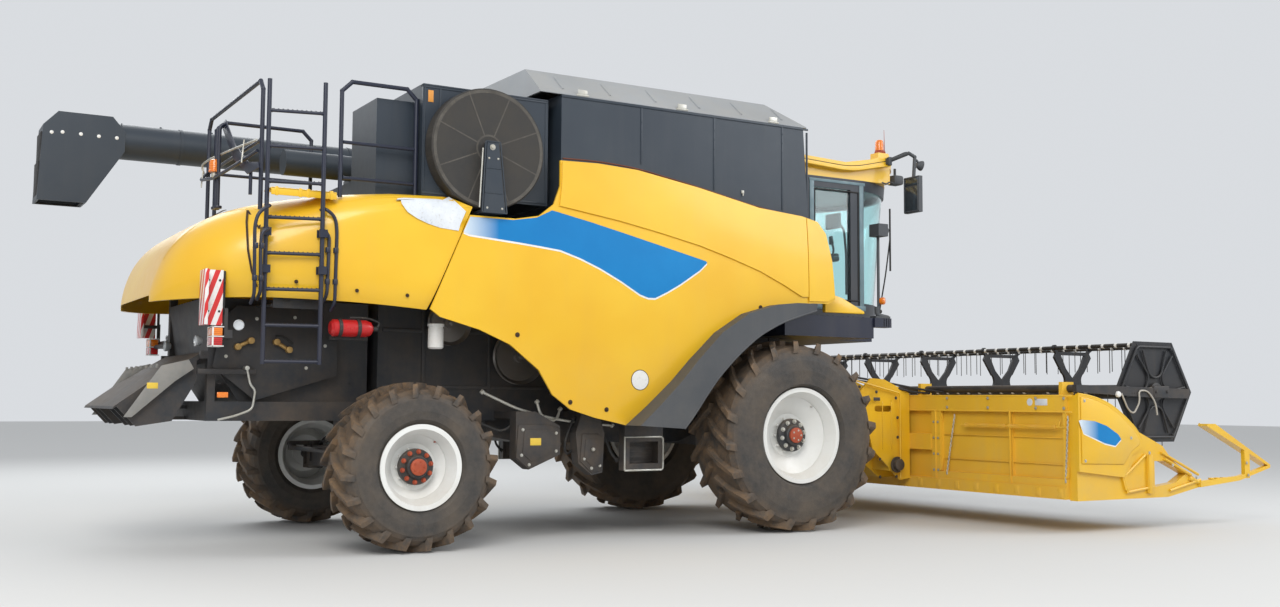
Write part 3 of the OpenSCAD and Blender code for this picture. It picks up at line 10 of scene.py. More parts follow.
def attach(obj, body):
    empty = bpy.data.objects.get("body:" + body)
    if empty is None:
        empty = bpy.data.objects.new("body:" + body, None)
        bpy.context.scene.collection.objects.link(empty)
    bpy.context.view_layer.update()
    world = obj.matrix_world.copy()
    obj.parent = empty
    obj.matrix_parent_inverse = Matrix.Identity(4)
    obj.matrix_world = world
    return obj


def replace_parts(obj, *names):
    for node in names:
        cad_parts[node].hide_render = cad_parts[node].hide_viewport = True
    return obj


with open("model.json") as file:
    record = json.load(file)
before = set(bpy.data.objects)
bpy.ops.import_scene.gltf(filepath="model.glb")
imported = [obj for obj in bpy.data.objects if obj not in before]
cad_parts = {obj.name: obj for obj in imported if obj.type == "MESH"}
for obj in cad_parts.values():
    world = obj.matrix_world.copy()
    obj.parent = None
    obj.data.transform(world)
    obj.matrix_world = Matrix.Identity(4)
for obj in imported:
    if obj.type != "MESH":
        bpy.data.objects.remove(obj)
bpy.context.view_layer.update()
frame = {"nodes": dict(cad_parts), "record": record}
nodes = frame["nodes"]

axleX = 0.640  # the front axle's place along the part


def at(x, y, z):
    # a point given from the front axle
    return Vector((x + axleX, y, z))


# camera, floor and light

camera = {
    "place": (-7.343, -11.148, 1.171),
    "yaw": 30.71, "pitch": 4.281, "roll": 0.339,
    "lens": 36.73,
}


def addCamera(spec):
    yaw, pitch, roll = (math.radians(spec[k]) for k in ("yaw", "pitch", "roll"))
    ahead = Vector((math.sin(yaw) * math.cos(pitch), math.cos(yaw) * math.cos(pitch), math.sin(pitch)))
    flatRight = Vector((math.cos(yaw), -math.sin(yaw), 0))
    flatUp = flatRight.cross(ahead)
    right = flatRight * math.cos(roll) + flatUp * math.sin(roll)
    up = right.cross(ahead)
    data = bpy.data.cameras.new("photoCamera")
    data.lens = spec["lens"]
    data.sensor_width = 36
    data.clip_end = 200
    eye = bpy.data.objects.new("photoCamera", data)
    bpy.context.scene.collection.objects.link(eye)
    eye.matrix_world = Matrix.Translation(at(*spec["place"])) @ Matrix((right, up, -ahead)).transposed().to_4x4()
    bpy.context.scene.camera = eye


addCamera(camera)
bpy.context.scene.view_settings.view_transform = "Standard"


def link(mesh, name):
    thing = bpy.data.objects.new(name, mesh)
    bpy.context.scene.collection.objects.link(thing)
    return thing


def addFloor():
    shape = bmesh.new()
    bmesh.ops.create_grid(shape, x_segments=1, y_segments=1, size=60)
    mesh = bpy.data.meshes.new("floor")
    shape.to_mesh(mesh)
    shape.free()
    material = bpy.data.materials.new("floorPale")
    material.use_nodes = True
    shader = material.node_tree.nodes["Principled BSDF"]
    shader.inputs["Base Color"].default_value = (0.62, 0.62, 0.61, 1)
    shader.inputs["Roughness"].default_value = 0.9
    shader.inputs["Specular IOR Level"].default_value = 0.1
    mesh.materials.append(material)
    link(mesh, "floor")


lights = {
    "sky": {"colour": (0.93, 0.96, 1.0), "strength": 0.75},
    "lamps": [
        # place, aimed at, size, watts, colour
        ((-9.0, -12.0, 10.5), (-1.0, -1.0, 1.6), 9.0, 1500, (1.0, 0.98, 0.95)),
        ((9.0, -9.0, 8.0), (1.0, -1.0, 1.5), 8.0, 620, (0.97, 0.98, 1.0)),
        ((-3.0, 10.0, 10.0), (0.0, 0.0, 2.0), 10.0, 700, (0.95, 0.98, 1.0)),
    ],
}


def addLights(spec):
    world = bpy.data.worlds.new("softSky")
    world.use_nodes = True
    sky = world.node_tree.nodes["Background"]
    sky.inputs["Color"].default_value = (*spec["sky"]["colour"], 1)
    sky.inputs["Strength"].default_value = spec["sky"]["strength"]
    bpy.context.scene.world = world
    for i, (place, aim, size, watts, colour) in enumerate(spec["lamps"]):
        data = bpy.data.lights.new("softLamp%d" % i, "AREA")
        data.shape = "DISK"
        data.size = size
        data.energy = watts
        data.color = colour
        lamp = bpy.data.objects.new("softLamp%d" % i, data)
        bpy.context.scene.collection.objects.link(lamp)
        lamp.location = place
        lamp.rotation_euler = (Vector(aim) - Vector(place)).to_track_quat("-Z", "Y").to_euler()


addFloor()
addLights(lights)
print("stage ready")


# finishes


class Tree:
    # a short way to add and join a material's nodes
    def __init__(self, name):
        self.material = bpy.data.materials.new(name)
        self.material.use_nodes = True
        self.tree = self.material.node_tree
        self.shader = self.tree.nodes["Principled BSDF"]
        self.place = self.add("ShaderNodeTexCoord").outputs["Object"]

    def add(self, kind, links=None, **settings):
        node = self.tree.nodes.new(kind)
        for key, value in settings.items():
            setattr(node, key, value)
        for key, value in (links or {}).items():
            self.put(node.inputs[key], value)
        return node

    def put(self, socket, value):
        if isinstance(value, bpy.types.NodeSocket):
            self.tree.links.new(value, socket)
        elif isinstance(value, tuple) and len(value) == 3 and socket.type == "RGBA":
            socket.default_value = (*value, 1)
        else:
            socket.default_value = value

    def noise(self, scale, detail=4.0, rough=0.55, stretch=None):
        source = self.place
        if stretch:
            source = self.add("ShaderNodeMapping", {"Vector": self.place, "Scale": stretch}).outputs["Vector"]
        return self.add("ShaderNodeTexNoise", {"Vector": source, "Scale": scale, "Detail": detail,
                                               "Roughness": rough}).outputs["Fac"]

    def span(self, value, low, high, toLow=0.0, toHigh=1.0):
        return self.add("ShaderNodeMapRange", {"Value": value, "From Min": low, "From Max": high,
                                               "To Min": toLow, "To Max": toHigh}).outputs["Result"]

    def calc(self, a, b, how="MULTIPLY"):
        node = self.add("ShaderNodeMath", operation=how, use_clamp=how != "SUBTRACT")
        self.put(node.inputs[0], a)
        self.put(node.inputs[1], b)
        return node.outputs[0]

    def apart(self, vector, axis):
        return self.add("ShaderNodeSeparateXYZ", {"Vector": vector}).outputs[axis]

    def mix(self, share, a, b):
        node = self.add("ShaderNodeMix", data_type="RGBA")
        self.put(node.inputs["Factor"], share)
        self.put(node.inputs[6], a)
        self.put(node.inputs[7], b)
        return node.outputs[2]

    def base(self, **values):
        for key, value in values.items():
            self.shader.inputs[key.replace("_", " ")].default_value = value

    def finish(self, colour, rough, bump=None, strength=0.1, distance=0.002):
        self.put(self.shader.inputs["Base Color"], colour)
        self.put(self.shader.inputs["Roughness"], rough)
        if bump is not None:
            node = self.add("ShaderNodeBump", {"Height": bump, "Strength": strength, "Distance": distance})
            self.tree.links.new(node.outputs["Normal"], self.shader.inputs["Normal"])
        return self.material


def coated(name, colour, shade, dust, ground, settled, rough, more=None):
    # paint or plastic with uneven colour, settled dust and grime that thickens towards the ground
    look = {"metal": 0.0, "coat": 0.0, "streak": 0.12, "grain": 60.0, "bump": 0.06, **(more or {})}
    dustTop, dustFoot, dustShare = ground
    t = Tree(name)
    broad, fine = t.noise(0.9, 3), t.noise(14.0, 6, 0.65)
    colour = t.mix(t.span(broad, 0.35, 0.68), colour, shade)
    low = t.span(t.apart(t.place, "Z"), dustTop, dustFoot)
    patches = t.span(t.noise(3.2, 6, 0.7), 0.38, 0.72)
    grime = t.calc(t.calc(low, patches), dustShare)
    up = t.apart(t.add("ShaderNodeNewGeometry").outputs["Normal"], "Z")
    resting = t.calc(t.calc(t.span(up, 0.35, 1.0), t.span(fine, 0.2, 0.7, 0.45, 1.0)), settled)
    cover = t.calc(grime, resting, "ADD")
    streak = t.span(t.noise(2.2, 5, 0.6, (3.0, 3.0, 0.25)), 0.5, 0.8, 0.0, look["streak"])
    colour = t.mix(streak, t.mix(cover, colour, dust), dust)
    t.base(Metallic=look["metal"], Coat_Weight=look["coat"], Coat_Roughness=0.12)
    worn = t.calc(t.calc(cover, 0.6), t.calc(fine, 0.5), "ADD")
    return t.finish(colour, t.span(worn, 0.0, 1.0, *rough), t.noise(look["grain"], 3), look["bump"])


earth = (0.20, 0.135, 0.075)

finishes = {
    # colour, shade, dust, (where grime begins, where it is full, its share), dust on top, roughness, the rest
    "painted_yellow": ((0.8, 0.49, 0.018), (0.75, 0.415, 0.008), (0.55, 0.38, 0.12), (1.7, 0.5, 0.35), 0.1,
                       (0.28, 0.6), {"coat": 0.35, "streak": 0.07, "bump": 0.03}),
    "header_paint": ((0.82, 0.5, 0.035), (0.74, 0.41, 0.03), (0.55, 0.37, 0.15), (1.3, 0.1, 0.35), 0.22,
                     (0.35, 0.75), {"streak": 0.2}),
    "chassis_black": ((0.018, 0.021, 0.026), (0.03, 0.032, 0.036), earth, (2.4, 0.6, 0.38), 0.3, (0.42, 0.9),
                      {"bump": 0.15}),
    "rail_navy": ((0.011, 0.015, 0.033), (0.016, 0.021, 0.04), (0.12, 0.1, 0.08), (2.2, 0.5, 0.35), 0.1, (0.3, 0.7)),
    "tank_grey": ((0.02, 0.03, 0.044), (0.03, 0.041, 0.055), (0.11, 0.105, 0.095), (3.6, 2.6, 0.16), 0.22,
                  (0.38, 0.7), {"bump": 0.08, "streak": 0.1}),
    "cover_grey": ((0.3, 0.32, 0.34), (0.24, 0.26, 0.28), (0.4, 0.36, 0.29), (4.2, 3.6, 0.3), 0.3, (0.35, 0.65),
                   {"streak": 0.15}),
    "dark_plastic": ((0.05, 0.055, 0.062), (0.066, 0.071, 0.078), (0.17, 0.155, 0.13), (2.2, 0.8, 0.25), 0.22,
                     (0.5, 0.85), {"grain": 220.0, "bump": 0.25}),
    "cab_paint": ((0.02, 0.026, 0.036), (0.03, 0.036, 0.045), (0.14, 0.12, 0.1), (2.5, 1.8, 0.35), 0.2, (0.35, 0.7)),
    "polished_steel": ((0.55, 0.56, 0.58), (0.45, 0.46, 0.48), earth, (1.4, 0.3, 0.2), 0.1, (0.12, 0.4),
                       {"metal": 1.0}),
    "worked_steel": ((0.3, 0.3, 0.3), (0.2, 0.17, 0.14), (0.22, 0.13, 0.07), (1.2, 0.2, 0.5), 0.2, (0.3, 0.7),
                     {"metal": 0.8}),
    "reel_black": ((0.012, 0.014, 0.018), (0.02, 0.022, 0.026), (0.16, 0.12, 0.08), (2.0, 0.5, 0.2), 0.2,
                   (0.35, 0.75)),
    "tine_steel": ((0.03, 0.03, 0.032), (0.05, 0.046, 0.042), (0.18, 0.13, 0.08), (2.0, 0.4, 0.25), 0.2,
                   (0.35, 0.7), {"metal": 0.3}),
    "rim_white": ((0.78, 0.79, 0.77), (0.7, 0.7, 0.67), (0.42, 0.33, 0.22), (1.1, 0.1, 0.35), 0.3, (0.28, 0.65),
                  {"coat": 0.3, "streak": 0.06}),
}


def tyreFinish(name, axis, outer):
    # rubber that turns earth brown towards the lugs
    t = Tree(name)
    off = t.add("ShaderNodeVectorMath", {0: t.place, 1: (axis[0], 0, axis[2])}, operation="SUBTRACT").outputs[0]
    flat = t.add("ShaderNodeVectorMath", {0: off, 1: (1, 0, 1)}, operation="MULTIPLY").outputs[0]
    radius = t.add("ShaderNodeVectorMath", {0: flat}, operation="LENGTH").outputs["Value"]
    fine = t.noise(22, 8, 0.7)
    clods = t.span(t.noise(6.5, 7, 0.75), 0.36, 0.66)
    worn = t.calc(t.span(radius, outer - 0.16, outer - 0.02), clods)
    colour = t.mix(t.span(fine, 0.3, 0.7), (0.030, 0.029, 0.028), (0.058, 0.052, 0.047))
    colour = t.mix(t.calc(t.span(t.noise(3, 5, 0.6), 0.38, 0.72), 0.5), colour, (0.15, 0.112, 0.075))
    colour = t.mix(t.calc(worn, 0.88), colour, t.mix(fine, (0.30, 0.19, 0.10), (0.15, 0.085, 0.04)))
    bump = t.calc(t.noise(34, 8, 0.75), t.calc(worn, clods), "ADD")
    return t.finish(colour, t.span(worn, 0, 1, 0.62, 0.95), bump, 0.5, 0.006)


def meshFinish(name):
    # a fine perforated sheet with dust on its ribs, and painted shade in its holes
    t = Tree(name)
    holes = t.add("ShaderNodeTexVoronoi", {"Vector": t.place, "Scale": 130.0, "Randomness": 0.0}).outputs["Distance"]
    ribs = t.span(holes, 0.28, 0.36, 1.0, 0.0)
    dusty = t.span(t.noise(4, 6, 0.7), 0.35, 0.75, 0.05, 0.7)
    colour = t.mix(dusty, (0.022, 0.021, 0.020), (0.075, 0.064, 0.050))
    # the mask called ribs is full at the holes, which are painted near-black: painted shade seen through the
    # perforations
    colour = t.mix(ribs, colour, (0.012, 0.012, 0.012))
    return t.finish(colour, t.span(dusty, 0, 1, 0.5, 0.9), ribs, 0.4, 0.002)


def glassFinish(name):
    t = Tree(name)
    t.base(Transmission_Weight=1.0, IOR=1.45)
    smear = t.span(t.noise(5, 6, 0.7), 0.45, 0.9, 0.02, 0.16)
    return t.finish(t.mix(t.span(t.noise(1.2, 3), 0.3, 0.7), (0.76, 0.985, 0.985), (0.70, 0.955, 0.965)), smear)


def lampFinish(name, colour, shade):
    t = Tree(name)
    wave = {"Vector": t.place, "Scale": 22.0, "Distortion": 0.0}
    ribs = t.add("ShaderNodeTexWave", wave, bands_direction="Z").outputs["Fac"]
    t.base(Coat_Weight=0.6, Transmission_Weight=0.15)
    return t.finish(t.mix(t.span(ribs, 0.2, 0.8), colour, shade), t.span(t.noise(40, 3), 0, 1, 0.12, 0.3), ribs, 0.3)


materials = {slot: coated(slot, *row) for slot, row in finishes.items()}
materials["frontTyre"] = tyreFinish("frontTyre", at(0, 0, 0.870), 0.870)
materials["rearTyre"] = tyreFinish("rearTyre", at(-3.634, 0, 0.655), 0.655)
materials["mesh_steel"] = meshFinish("meshSteel")
materials["cab_glass"] = glassFinish("cabGlass")
materials["lamp_amber"] = lampFinish("lampAmber", (0.95, 0.28, 0.02), (0.75, 0.16, 0.01))

for entry in frame["record"]["subparts"]:
    name, slot = entry["node"], entry["material_slot"]
    if slot == "tyre_rubber":
        slot = "frontTyre" if name.startswith("front") else "rearTyre"
    shown = nodes[name].data
    shown.materials.clear()
    shown.materials.append(materials[slot])
print("finishes ready")


# finishes for small parts

smallFinishes = {
    # colour, shade, roughness, share of metal if any
    "plateWhite": ((0.80, 0.80, 0.78), (0.72, 0.71, 0.68), (0.30, 0.55)),
    "plateSilver": ((0.62, 0.66, 0.71), (0.74, 0.77, 0.80), (0.25, 0.45), 0.1),
    "labelYellow": ((0.78, 0.55, 0.06), (0.70, 0.46, 0.05), (0.35, 0.6)),
    "labelOrange": ((0.70, 0.30, 0.05), (0.60, 0.24, 0.04), (0.35, 0.6)),
    "redPaint": ((0.52, 0.012, 0.014), (0.40, 0.008, 0.01), (0.22, 0.5)),
    # dark seams, latches and the sign's ring, and painted shade along the groove of the roof's edge
    "seamDark": ((0.05, 0.022, 0.008), (0.03, 0.014, 0.006), (0.7, 0.9)),
    "hubOrange": ((0.42, 0.07, 0.02), (0.30, 0.05, 0.02), (0.4, 0.8)),
    # black of hoses, bands, pipes and the wiper, and painted shade in the slots of the tail's sheets
    "hoseBlackAndSlotShade": ((0.016, 0.016, 0.017), (0.03, 0.028, 0.026), (0.45, 0.8)),
    "hosePale": ((0.44, 0.41, 0.36), (0.34, 0.31, 0.26), (0.4, 0.7)),
    "zincPale": ((0.60, 0.60, 0.56), (0.42, 0.40, 0.34), (0.3, 0.6), 0.6),
    "brassDull": ((0.50, 0.33, 0.12), (0.36, 0.22, 0.08), (0.35, 0.7), 0.7),
    "lensClear": ((0.72, 0.74, 0.76), (0.55, 0.58, 0.60), (0.08, 0.25), 0.3),
    "deflectorGrey": ((0.20, 0.20, 0.19), (0.27, 0.26, 0.24), (0.5, 0.8)),
    "seatCloth": ((0.03, 0.035, 0.045), (0.05, 0.055, 0.07), (0.8, 0.95)),
    "screenGlow": ((0.02, 0.03, 0.04), (0.04, 0.06, 0.08), (0.1, 0.3)),
    "trimTeal": ((0.16, 0.24, 0.27), (0.12, 0.19, 0.22), (0.35, 0.6)),
    "trimBrown": ((0.16, 0.045, 0.02), (0.12, 0.035, 0.018), (0.5, 0.8)),
    "dustyEdge": ((0.09, 0.082, 0.070), (0.06, 0.055, 0.048), (0.6, 0.9)),
    "mirrorDark": ((0.10, 0.12, 0.14), (0.07, 0.085, 0.10), (0.05, 0.2), 0.6),
    "rubberEdge": ((0.014, 0.014, 0.016), (0.024, 0.023, 0.022), (0.6, 0.9)),
}


def smallFinish(name, colour, shade, rough, metal=0.0):
    # a small part's own colour, clouded and speckled with dust
    t = Tree(name)
    cloud = t.span(t.noise(9.0, 5, 0.6), 0.3, 0.7)
    specks = t.span(t.noise(55.0, 4, 0.7), 0.56, 0.74)
    tone = t.mix(t.calc(specks, 0.35), t.mix(cloud, colour, shade), (0.30, 0.23, 0.15))
    t.base(Metallic=metal)
    return t.finish(tone, t.span(cloud, 0, 1, *rough), t.noise(90.0, 3), 0.05)


def bandFinish(name, start, stop):
    # silver at the seam turning to blue further forward
    t = Tree(name)
    share = t.span(t.apart(t.place, "X"), start, stop)
    cloud = t.span(t.noise(1.6, 4, 0.55), 0.3, 0.7)
    blue = t.mix(cloud, (0.0, 0.165, 0.44), (0.002, 0.20, 0.50))
    colour = t.mix(share, (0.62, 0.70, 0.76), blue)
    t.base(Specular_IOR_Level=0.3)
    return t.finish(colour, t.span(t.noise(18.0, 5), 0.2, 0.8, 0.35, 0.6), t.noise(70.0, 3), 0.03)


def stripeFinish(name):
    # slanting red and white stripes of the warning boards
    t = Tree(name)
    lean = t.add("ShaderNodeVectorMath", {0: t.place, 1: (-26.0, 26.0, 9.0)}, operation="DOT_PRODUCT").outputs["Value"]
    wave = t.calc(lean, 1.0, "PINGPONG")
    share = t.span(wave, 0.47, 0.53)
    worn = t.span(t.noise(30.0, 6, 0.7), 0.60, 0.75, 0.0, 0.5)
    colour = t.mix(worn, t.mix(share, (0.62, 0.03, 0.03), (0.78, 0.76, 0.74)), (0.42, 0.33, 0.26))
    return t.finish(colour, t.span(worn, 0, 1, 0.3, 0.7), t.noise(80.0, 3), 0.05)


for name, spec in smallFinishes.items():
    materials[name] = smallFinish(name, *spec)
materials["bandBlue"] = bandFinish("bandBlue", at(-3.32, 0, 0).x, at(-3.0, 0, 0).x)
materials["badgeBlue"] = bandFinish("badgeBlue", at(2.06, 0, 0).x, at(2.30, 0, 0).x)
materials["stripes"] = stripeFinish("stripes")
materials["lampRed"] = lampFinish("lampRed", (0.62, 0.02, 0.02), (0.42, 0.01, 0.01))
print("small finishes ready")

# shaping tools


def piece(shape, name, body, finish, slot=None, smooth=32):
    # a finished piece that rides on a body of the machine
    bmesh.ops.remove_doubles(shape, verts=shape.verts, dist=1e-5)
    bmesh.ops.recalc_face_normals(shape, faces=shape.faces)
    mesh = bpy.data.meshes.new(name)
    shape.to_mesh(mesh)
    shape.free()
    mesh.materials.append(materials[finish])
    mesh.shade_smooth()
    mesh.set_sharp_from_angle(angle=math.radians(smooth))
    thing = link(mesh, name)
    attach(thing, body)
    return thing


def edgesOf(verts):
    return list({e for v in verts for e in v.link_edges})


def soften(shape, edges, size):
    if size:
        bmesh.ops.bevel(shape, geom=edges, offset=size, segments=2, affect="EDGES", profile=0.5, material=-1)


def addBox(shape, low, high, bevel=0.0, turn=None):
    low, high = Vector(low), Vector(high)
    size = Matrix.Diagonal((*(high - low), 1))
    place = Matrix.Translation((low + high) / 2) @ (turn or Matrix())
    made = bmesh.ops.create_cube(shape, size=1, matrix=place @ size)
    soften(shape, edgesOf(made["verts"]), bevel)


def addRod(shape, a, b, radius, sides=16, end=None, bevel=0.0):
    # a round bar between two points, or a cone where the end's radius differs
    a, b = Vector(a), Vector(b)
    turn = (b - a).to_track_quat("Z", "Y").to_matrix().to_4x4()
    made = bmesh.ops.create_cone(shape, cap_ends=True, segments=sides, radius1=radius,
                                 radius2=radius if end is None else end, depth=(b - a).length,
                                 matrix=Matrix.Translation((a + b) / 2) @ turn)
    rims = [e for e in edgesOf(made["verts"]) if any(len(f.verts) > 4 for f in e.link_faces)]
    soften(shape, rims, bevel)


def addPlate(shape, outline, axis, start, thick, bevel=0.0):
    # an outline on the two other axes, given its thickness along this one
    order = {"x": (2, 0, 1), "y": (0, 2, 1), "z": (0, 1, 2)}[axis]
    step = {"x": Vector((1, 0, 0)), "y": Vector((0, 1, 0)), "z": Vector((0, 0, 1))}[axis] * thick
    verts = []
    for u, v in outline:
        spot = (u, v, start)
        verts.append(shape.verts.new([spot[k] for k in order]))
    made = bmesh.ops.extrude_face_region(shape, geom=[shape.faces.new(verts)])
    risen = [v for v in made["geom"] if isinstance(v, bmesh.types.BMVert)]
    bmesh.ops.translate(shape, verts=risen, vec=step)
    soften(shape, edgesOf(verts + risen), bevel)


def rounded(points, bend):
    # the route with its corners turned into short arcs
    route, steps = [Vector(points[0])], 5
    for before, corner, after in zip(points, points[1:], points[2:]):
        before, corner, after = Vector(before), Vector(corner), Vector(after)
        reach = min(bend, (before - corner).length / 2, (after - corner).length / 2)
        start = corner + (before - corner).normalized() * reach
        stop = corner + (after - corner).normalized() * reach
        for k in range(steps + 1):
            share = k / steps
            route.append(start.lerp(corner, share).lerp(corner.lerp(stop, share), share))
    route.append(Vector(points[-1]))
    return route


def addTube(shape, points, radius, bend=0.08, sides=12, closed=False):
    # a ring of points, extruded along the route and turned with it
    route = rounded(points, bend)
    if closed:
        route.append(route[0])
    way = (route[1] - route[0]).normalized()
    turn = way.to_track_quat("Z", "Y").to_matrix().to_4x4()
    ring = bmesh.ops.create_circle(shape, cap_ends=False, segments=sides, radius=radius,
                                   matrix=Matrix.Translation(route[0]) @ turn)["verts"]
    edges = edgesOf(ring)
    ends = [edges]
    for here, there, beyond in zip(route, route[1:], route[2:] + [None]):
        if (there - here).length < 1e-6:
            continue
        ahead = (there - here).normalized()
        if beyond is not None and (beyond - there).length > 1e-6:
            ahead = (ahead + (beyond - there).normalized()).normalized()
        made = bmesh.ops.extrude_edge_only(shape, edges=edges)["geom"]
        ring = [v for v in made if isinstance(v, bmesh.types.BMVert)]
        edges = [e for e in made if isinstance(e, bmesh.types.BMEdge)]
        bmesh.ops.rotate(shape, cent=here, matrix=way.rotation_difference(ahead).to_matrix(), verts=ring)
        bmesh.ops.translate(shape, verts=ring, vec=there - here)
        way = ahead
    ends.append(edges)
    if not closed:
        for rim in ends:
            bmesh.ops.edgeloop_fill(shape, edges=rim)


def addLathe(shape, profile, origin, axis, steps=48):
    # radius and distance along the axis, spun round it
    axis = Vector(axis).normalized()
    out = axis.orthogonal().normalized()
    verts = [shape.verts.new(Vector(origin) + out * r + axis * d) for r, d in profile]
    edges = [shape.edges.new(pair) for pair in zip(verts, verts[1:])]
    bmesh.ops.spin(shape, geom=verts + edges, cent=origin, axis=axis, angle=math.tau, steps=steps,
                   use_merge=True, use_duplicate=False)


def mirrored(shape):
    # the same again on the other side of the machine
    both = bmesh.ops.duplicate(shape, geom=shape.verts[:] + shape.edges[:] + shape.faces[:])["geom"]
    bmesh.ops.scale(shape, vec=(1, -1, 1), verts=[g for g in both if isinstance(g, bmesh.types.BMVert)])


surfaces = {}
down = Vector((0, 0, -1))
clear, sky = 3, 6.0  # how far outside the machine a line towards it starts, and how high up a falling one does


def surface(node):
    if node not in surfaces:
        mesh = nodes[node].data
        surfaces[node] = BVHTree.FromPolygons([v.co for v in mesh.vertices], [p.vertices for p in mesh.polygons])
    return surfaces[node]


def laid(shape, node, thick, step, lift):
    # a flat outline is cut into small faces, laid on a node's right side as the camera sees it, and thickened
    low = [min(v.co[k] for v in shape.verts) for k in range(3)]
    high = [max(v.co[k] for v in shape.verts) for k in range(3)]
    for k, normal in ((0, (1, 0, 0)), (2, (0, 0, 1))):
        for i in range(1, int((high[k] - low[k]) / step) + 1):
            spot = Vector((0, low[1], 0))
            spot[k] = low[k] + i * step
            bmesh.ops.bisect_plane(shape, geom=shape.verts[:] + shape.edges[:] + shape.faces[:],
                                   plane_co=spot, plane_no=normal)
    eye = bpy.context.scene.camera.matrix_world.translation
    for v in shape.verts:
        ray = (v.co - eye).normalized()
        hit, normal, _, _ = surface(node).ray_cast(v.co - ray * clear, ray)
        if hit is None:
            hit, normal, _, _ = surface(node).find_nearest(v.co)
        if normal.y > 0:
            normal = -normal
        v.co = hit + normal * lift
    made = bmesh.ops.extrude_face_region(shape, geom=shape.faces[:])["geom"]
    risen = [g for g in made if isinstance(g, bmesh.types.BMVert)]
    shape.normal_update()
    for v in risen:
        _, normal, _, _ = surface(node).find_nearest(v.co)
        v.co += (normal if normal.y < 0 else -normal) * thick


def fitted(shape, name, body, finish, slot=None, *smooth):
    # a finished piece from a shape drawn in lengths from the front axle
    bmesh.ops.translate(shape, verts=shape.verts, vec=(axleX, 0, 0))
    return piece(shape, name, body, finish, slot, *smooth)


def twins(shape, name, body, finish, slot=None, place=fitted, *smooth):
    # the shape on the right side and its mirror image on the left, each riding on its own body
    for side in ("right", "left"):
        copy = shape.copy()
        if side == "left":
            bmesh.ops.scale(copy, vec=(1, -1, 1), verts=copy.verts)
        place(copy, name + side.capitalize(), body.replace("SIDE", side), finish, slot, *smooth)
    shape.free()


def make(spec):
    # a piece from rows that each give a shaping tool and its sizes
    shape = bmesh.new()
    for tool, *sizes in spec["rows"]:
        tool(shape, *sizes)
    if spec.get("both"):
        mirrored(shape)
    return fitted(shape, spec["name"], spec.get("body", "machine"), spec["finish"], spec.get("slot"))


def bolts(shape, spots, axis, radius, high):
    # hexagon heads with a washer
    out = Vector(axis)
    for spot in spots:
        spot = Vector(spot)
        addRod(shape, spot, spot + out * high * 0.3, radius * 1.5, 16)
        addRod(shape, spot + out * high * 0.3, spot + out * high, radius, 6, bevel=radius * 0.12)


def ringOf(radius, count, origin, start=0.0):
    # spots round a circle that faces sideways
    x, y, z = origin
    turns = [start + math.tau * k / count for k in range(count)]
    return [(x + radius * math.cos(a), y, z + radius * math.sin(a)) for a in turns]


def spread(half, count):
    # evenly spaced places from one side to the other
    return [-half + 2 * half * k / (count - 1) for k in range(count)]


def onSide(y, outline):
    # places on an upright plane at this distance from the machine's middle
    return [(x, y, z) for x, z in outline]


def addLamp(shape, centre, axis, radius, deep):
    # a round lamp body with a rim
    addLathe(shape, [(0.001, -deep), (radius * 0.55, -deep), (radius * 0.9, -deep * 0.45), (radius, -deep * 0.2),
                     (radius, 0), (radius * 0.88, 0.004), (radius * 0.84, -0.004), (0.001, -0.006)], centre, axis, 32)


def addBand(shape, centre, axis, inner, outer, half, steps=48):
    # a hoop round a tube
    addLathe(shape, [(inner, -half), (outer, -half), (outer, half), (inner, half), (inner, -half)], centre, axis, steps)


sideways, upwards, forwards, rearwards = (0, -1, 0), (0, 0, 1), (1, 0, 0), (-1, 0, 0)

# yellow skins: rear hood, band, plates and the round sign

hoodSkin = {"levels": 2, "crease": 45}


def creaseSharp(shape, angle):
    # sharp edges keep their line under subdivision
    layer = shape.edges.layers.float.get("crease_edge") or shape.edges.layers.float.new("crease_edge")
    for e in shape.edges:
        if not e.is_manifold or e.calc_face_angle(0) > math.radians(angle):
            e[layer] = 1.0


def addHoodSkin(spec):
    shape = bmesh.new()
    shape.from_mesh(nodes["rear_hood"].data)
    bmesh.ops.remove_doubles(shape, verts=shape.verts, dist=2e-5)
    bmesh.ops.join_triangles(shape, faces=shape.faces, angle_face_threshold=math.radians(12),
                             angle_shape_threshold=math.radians(80))
    creaseSharp(shape, spec["crease"])
    skin = piece(shape, "hoodSkin", "machine", "painted_yellow", smooth=45)
    smooth = skin.modifiers.new("smooth", "SUBSURF")
    smooth.levels = smooth.render_levels = spec["levels"]
    smooth.boundary_smooth = "PRESERVE_CORNERS"
    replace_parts(skin, "rear_hood")


def addLaid(name, node, body, finish, slot, outline, thick, lift=0.0004, step=0.07):
    # the same thin plate on both sides, from an outline of length and height
    shape = bmesh.new()
    shape.faces.new([shape.verts.new(at(x, -1.6, z)) for x, z in outline])
    laid(shape, node, thick, step, lift)
    twins(shape, name, body, finish, slot, piece, 60)


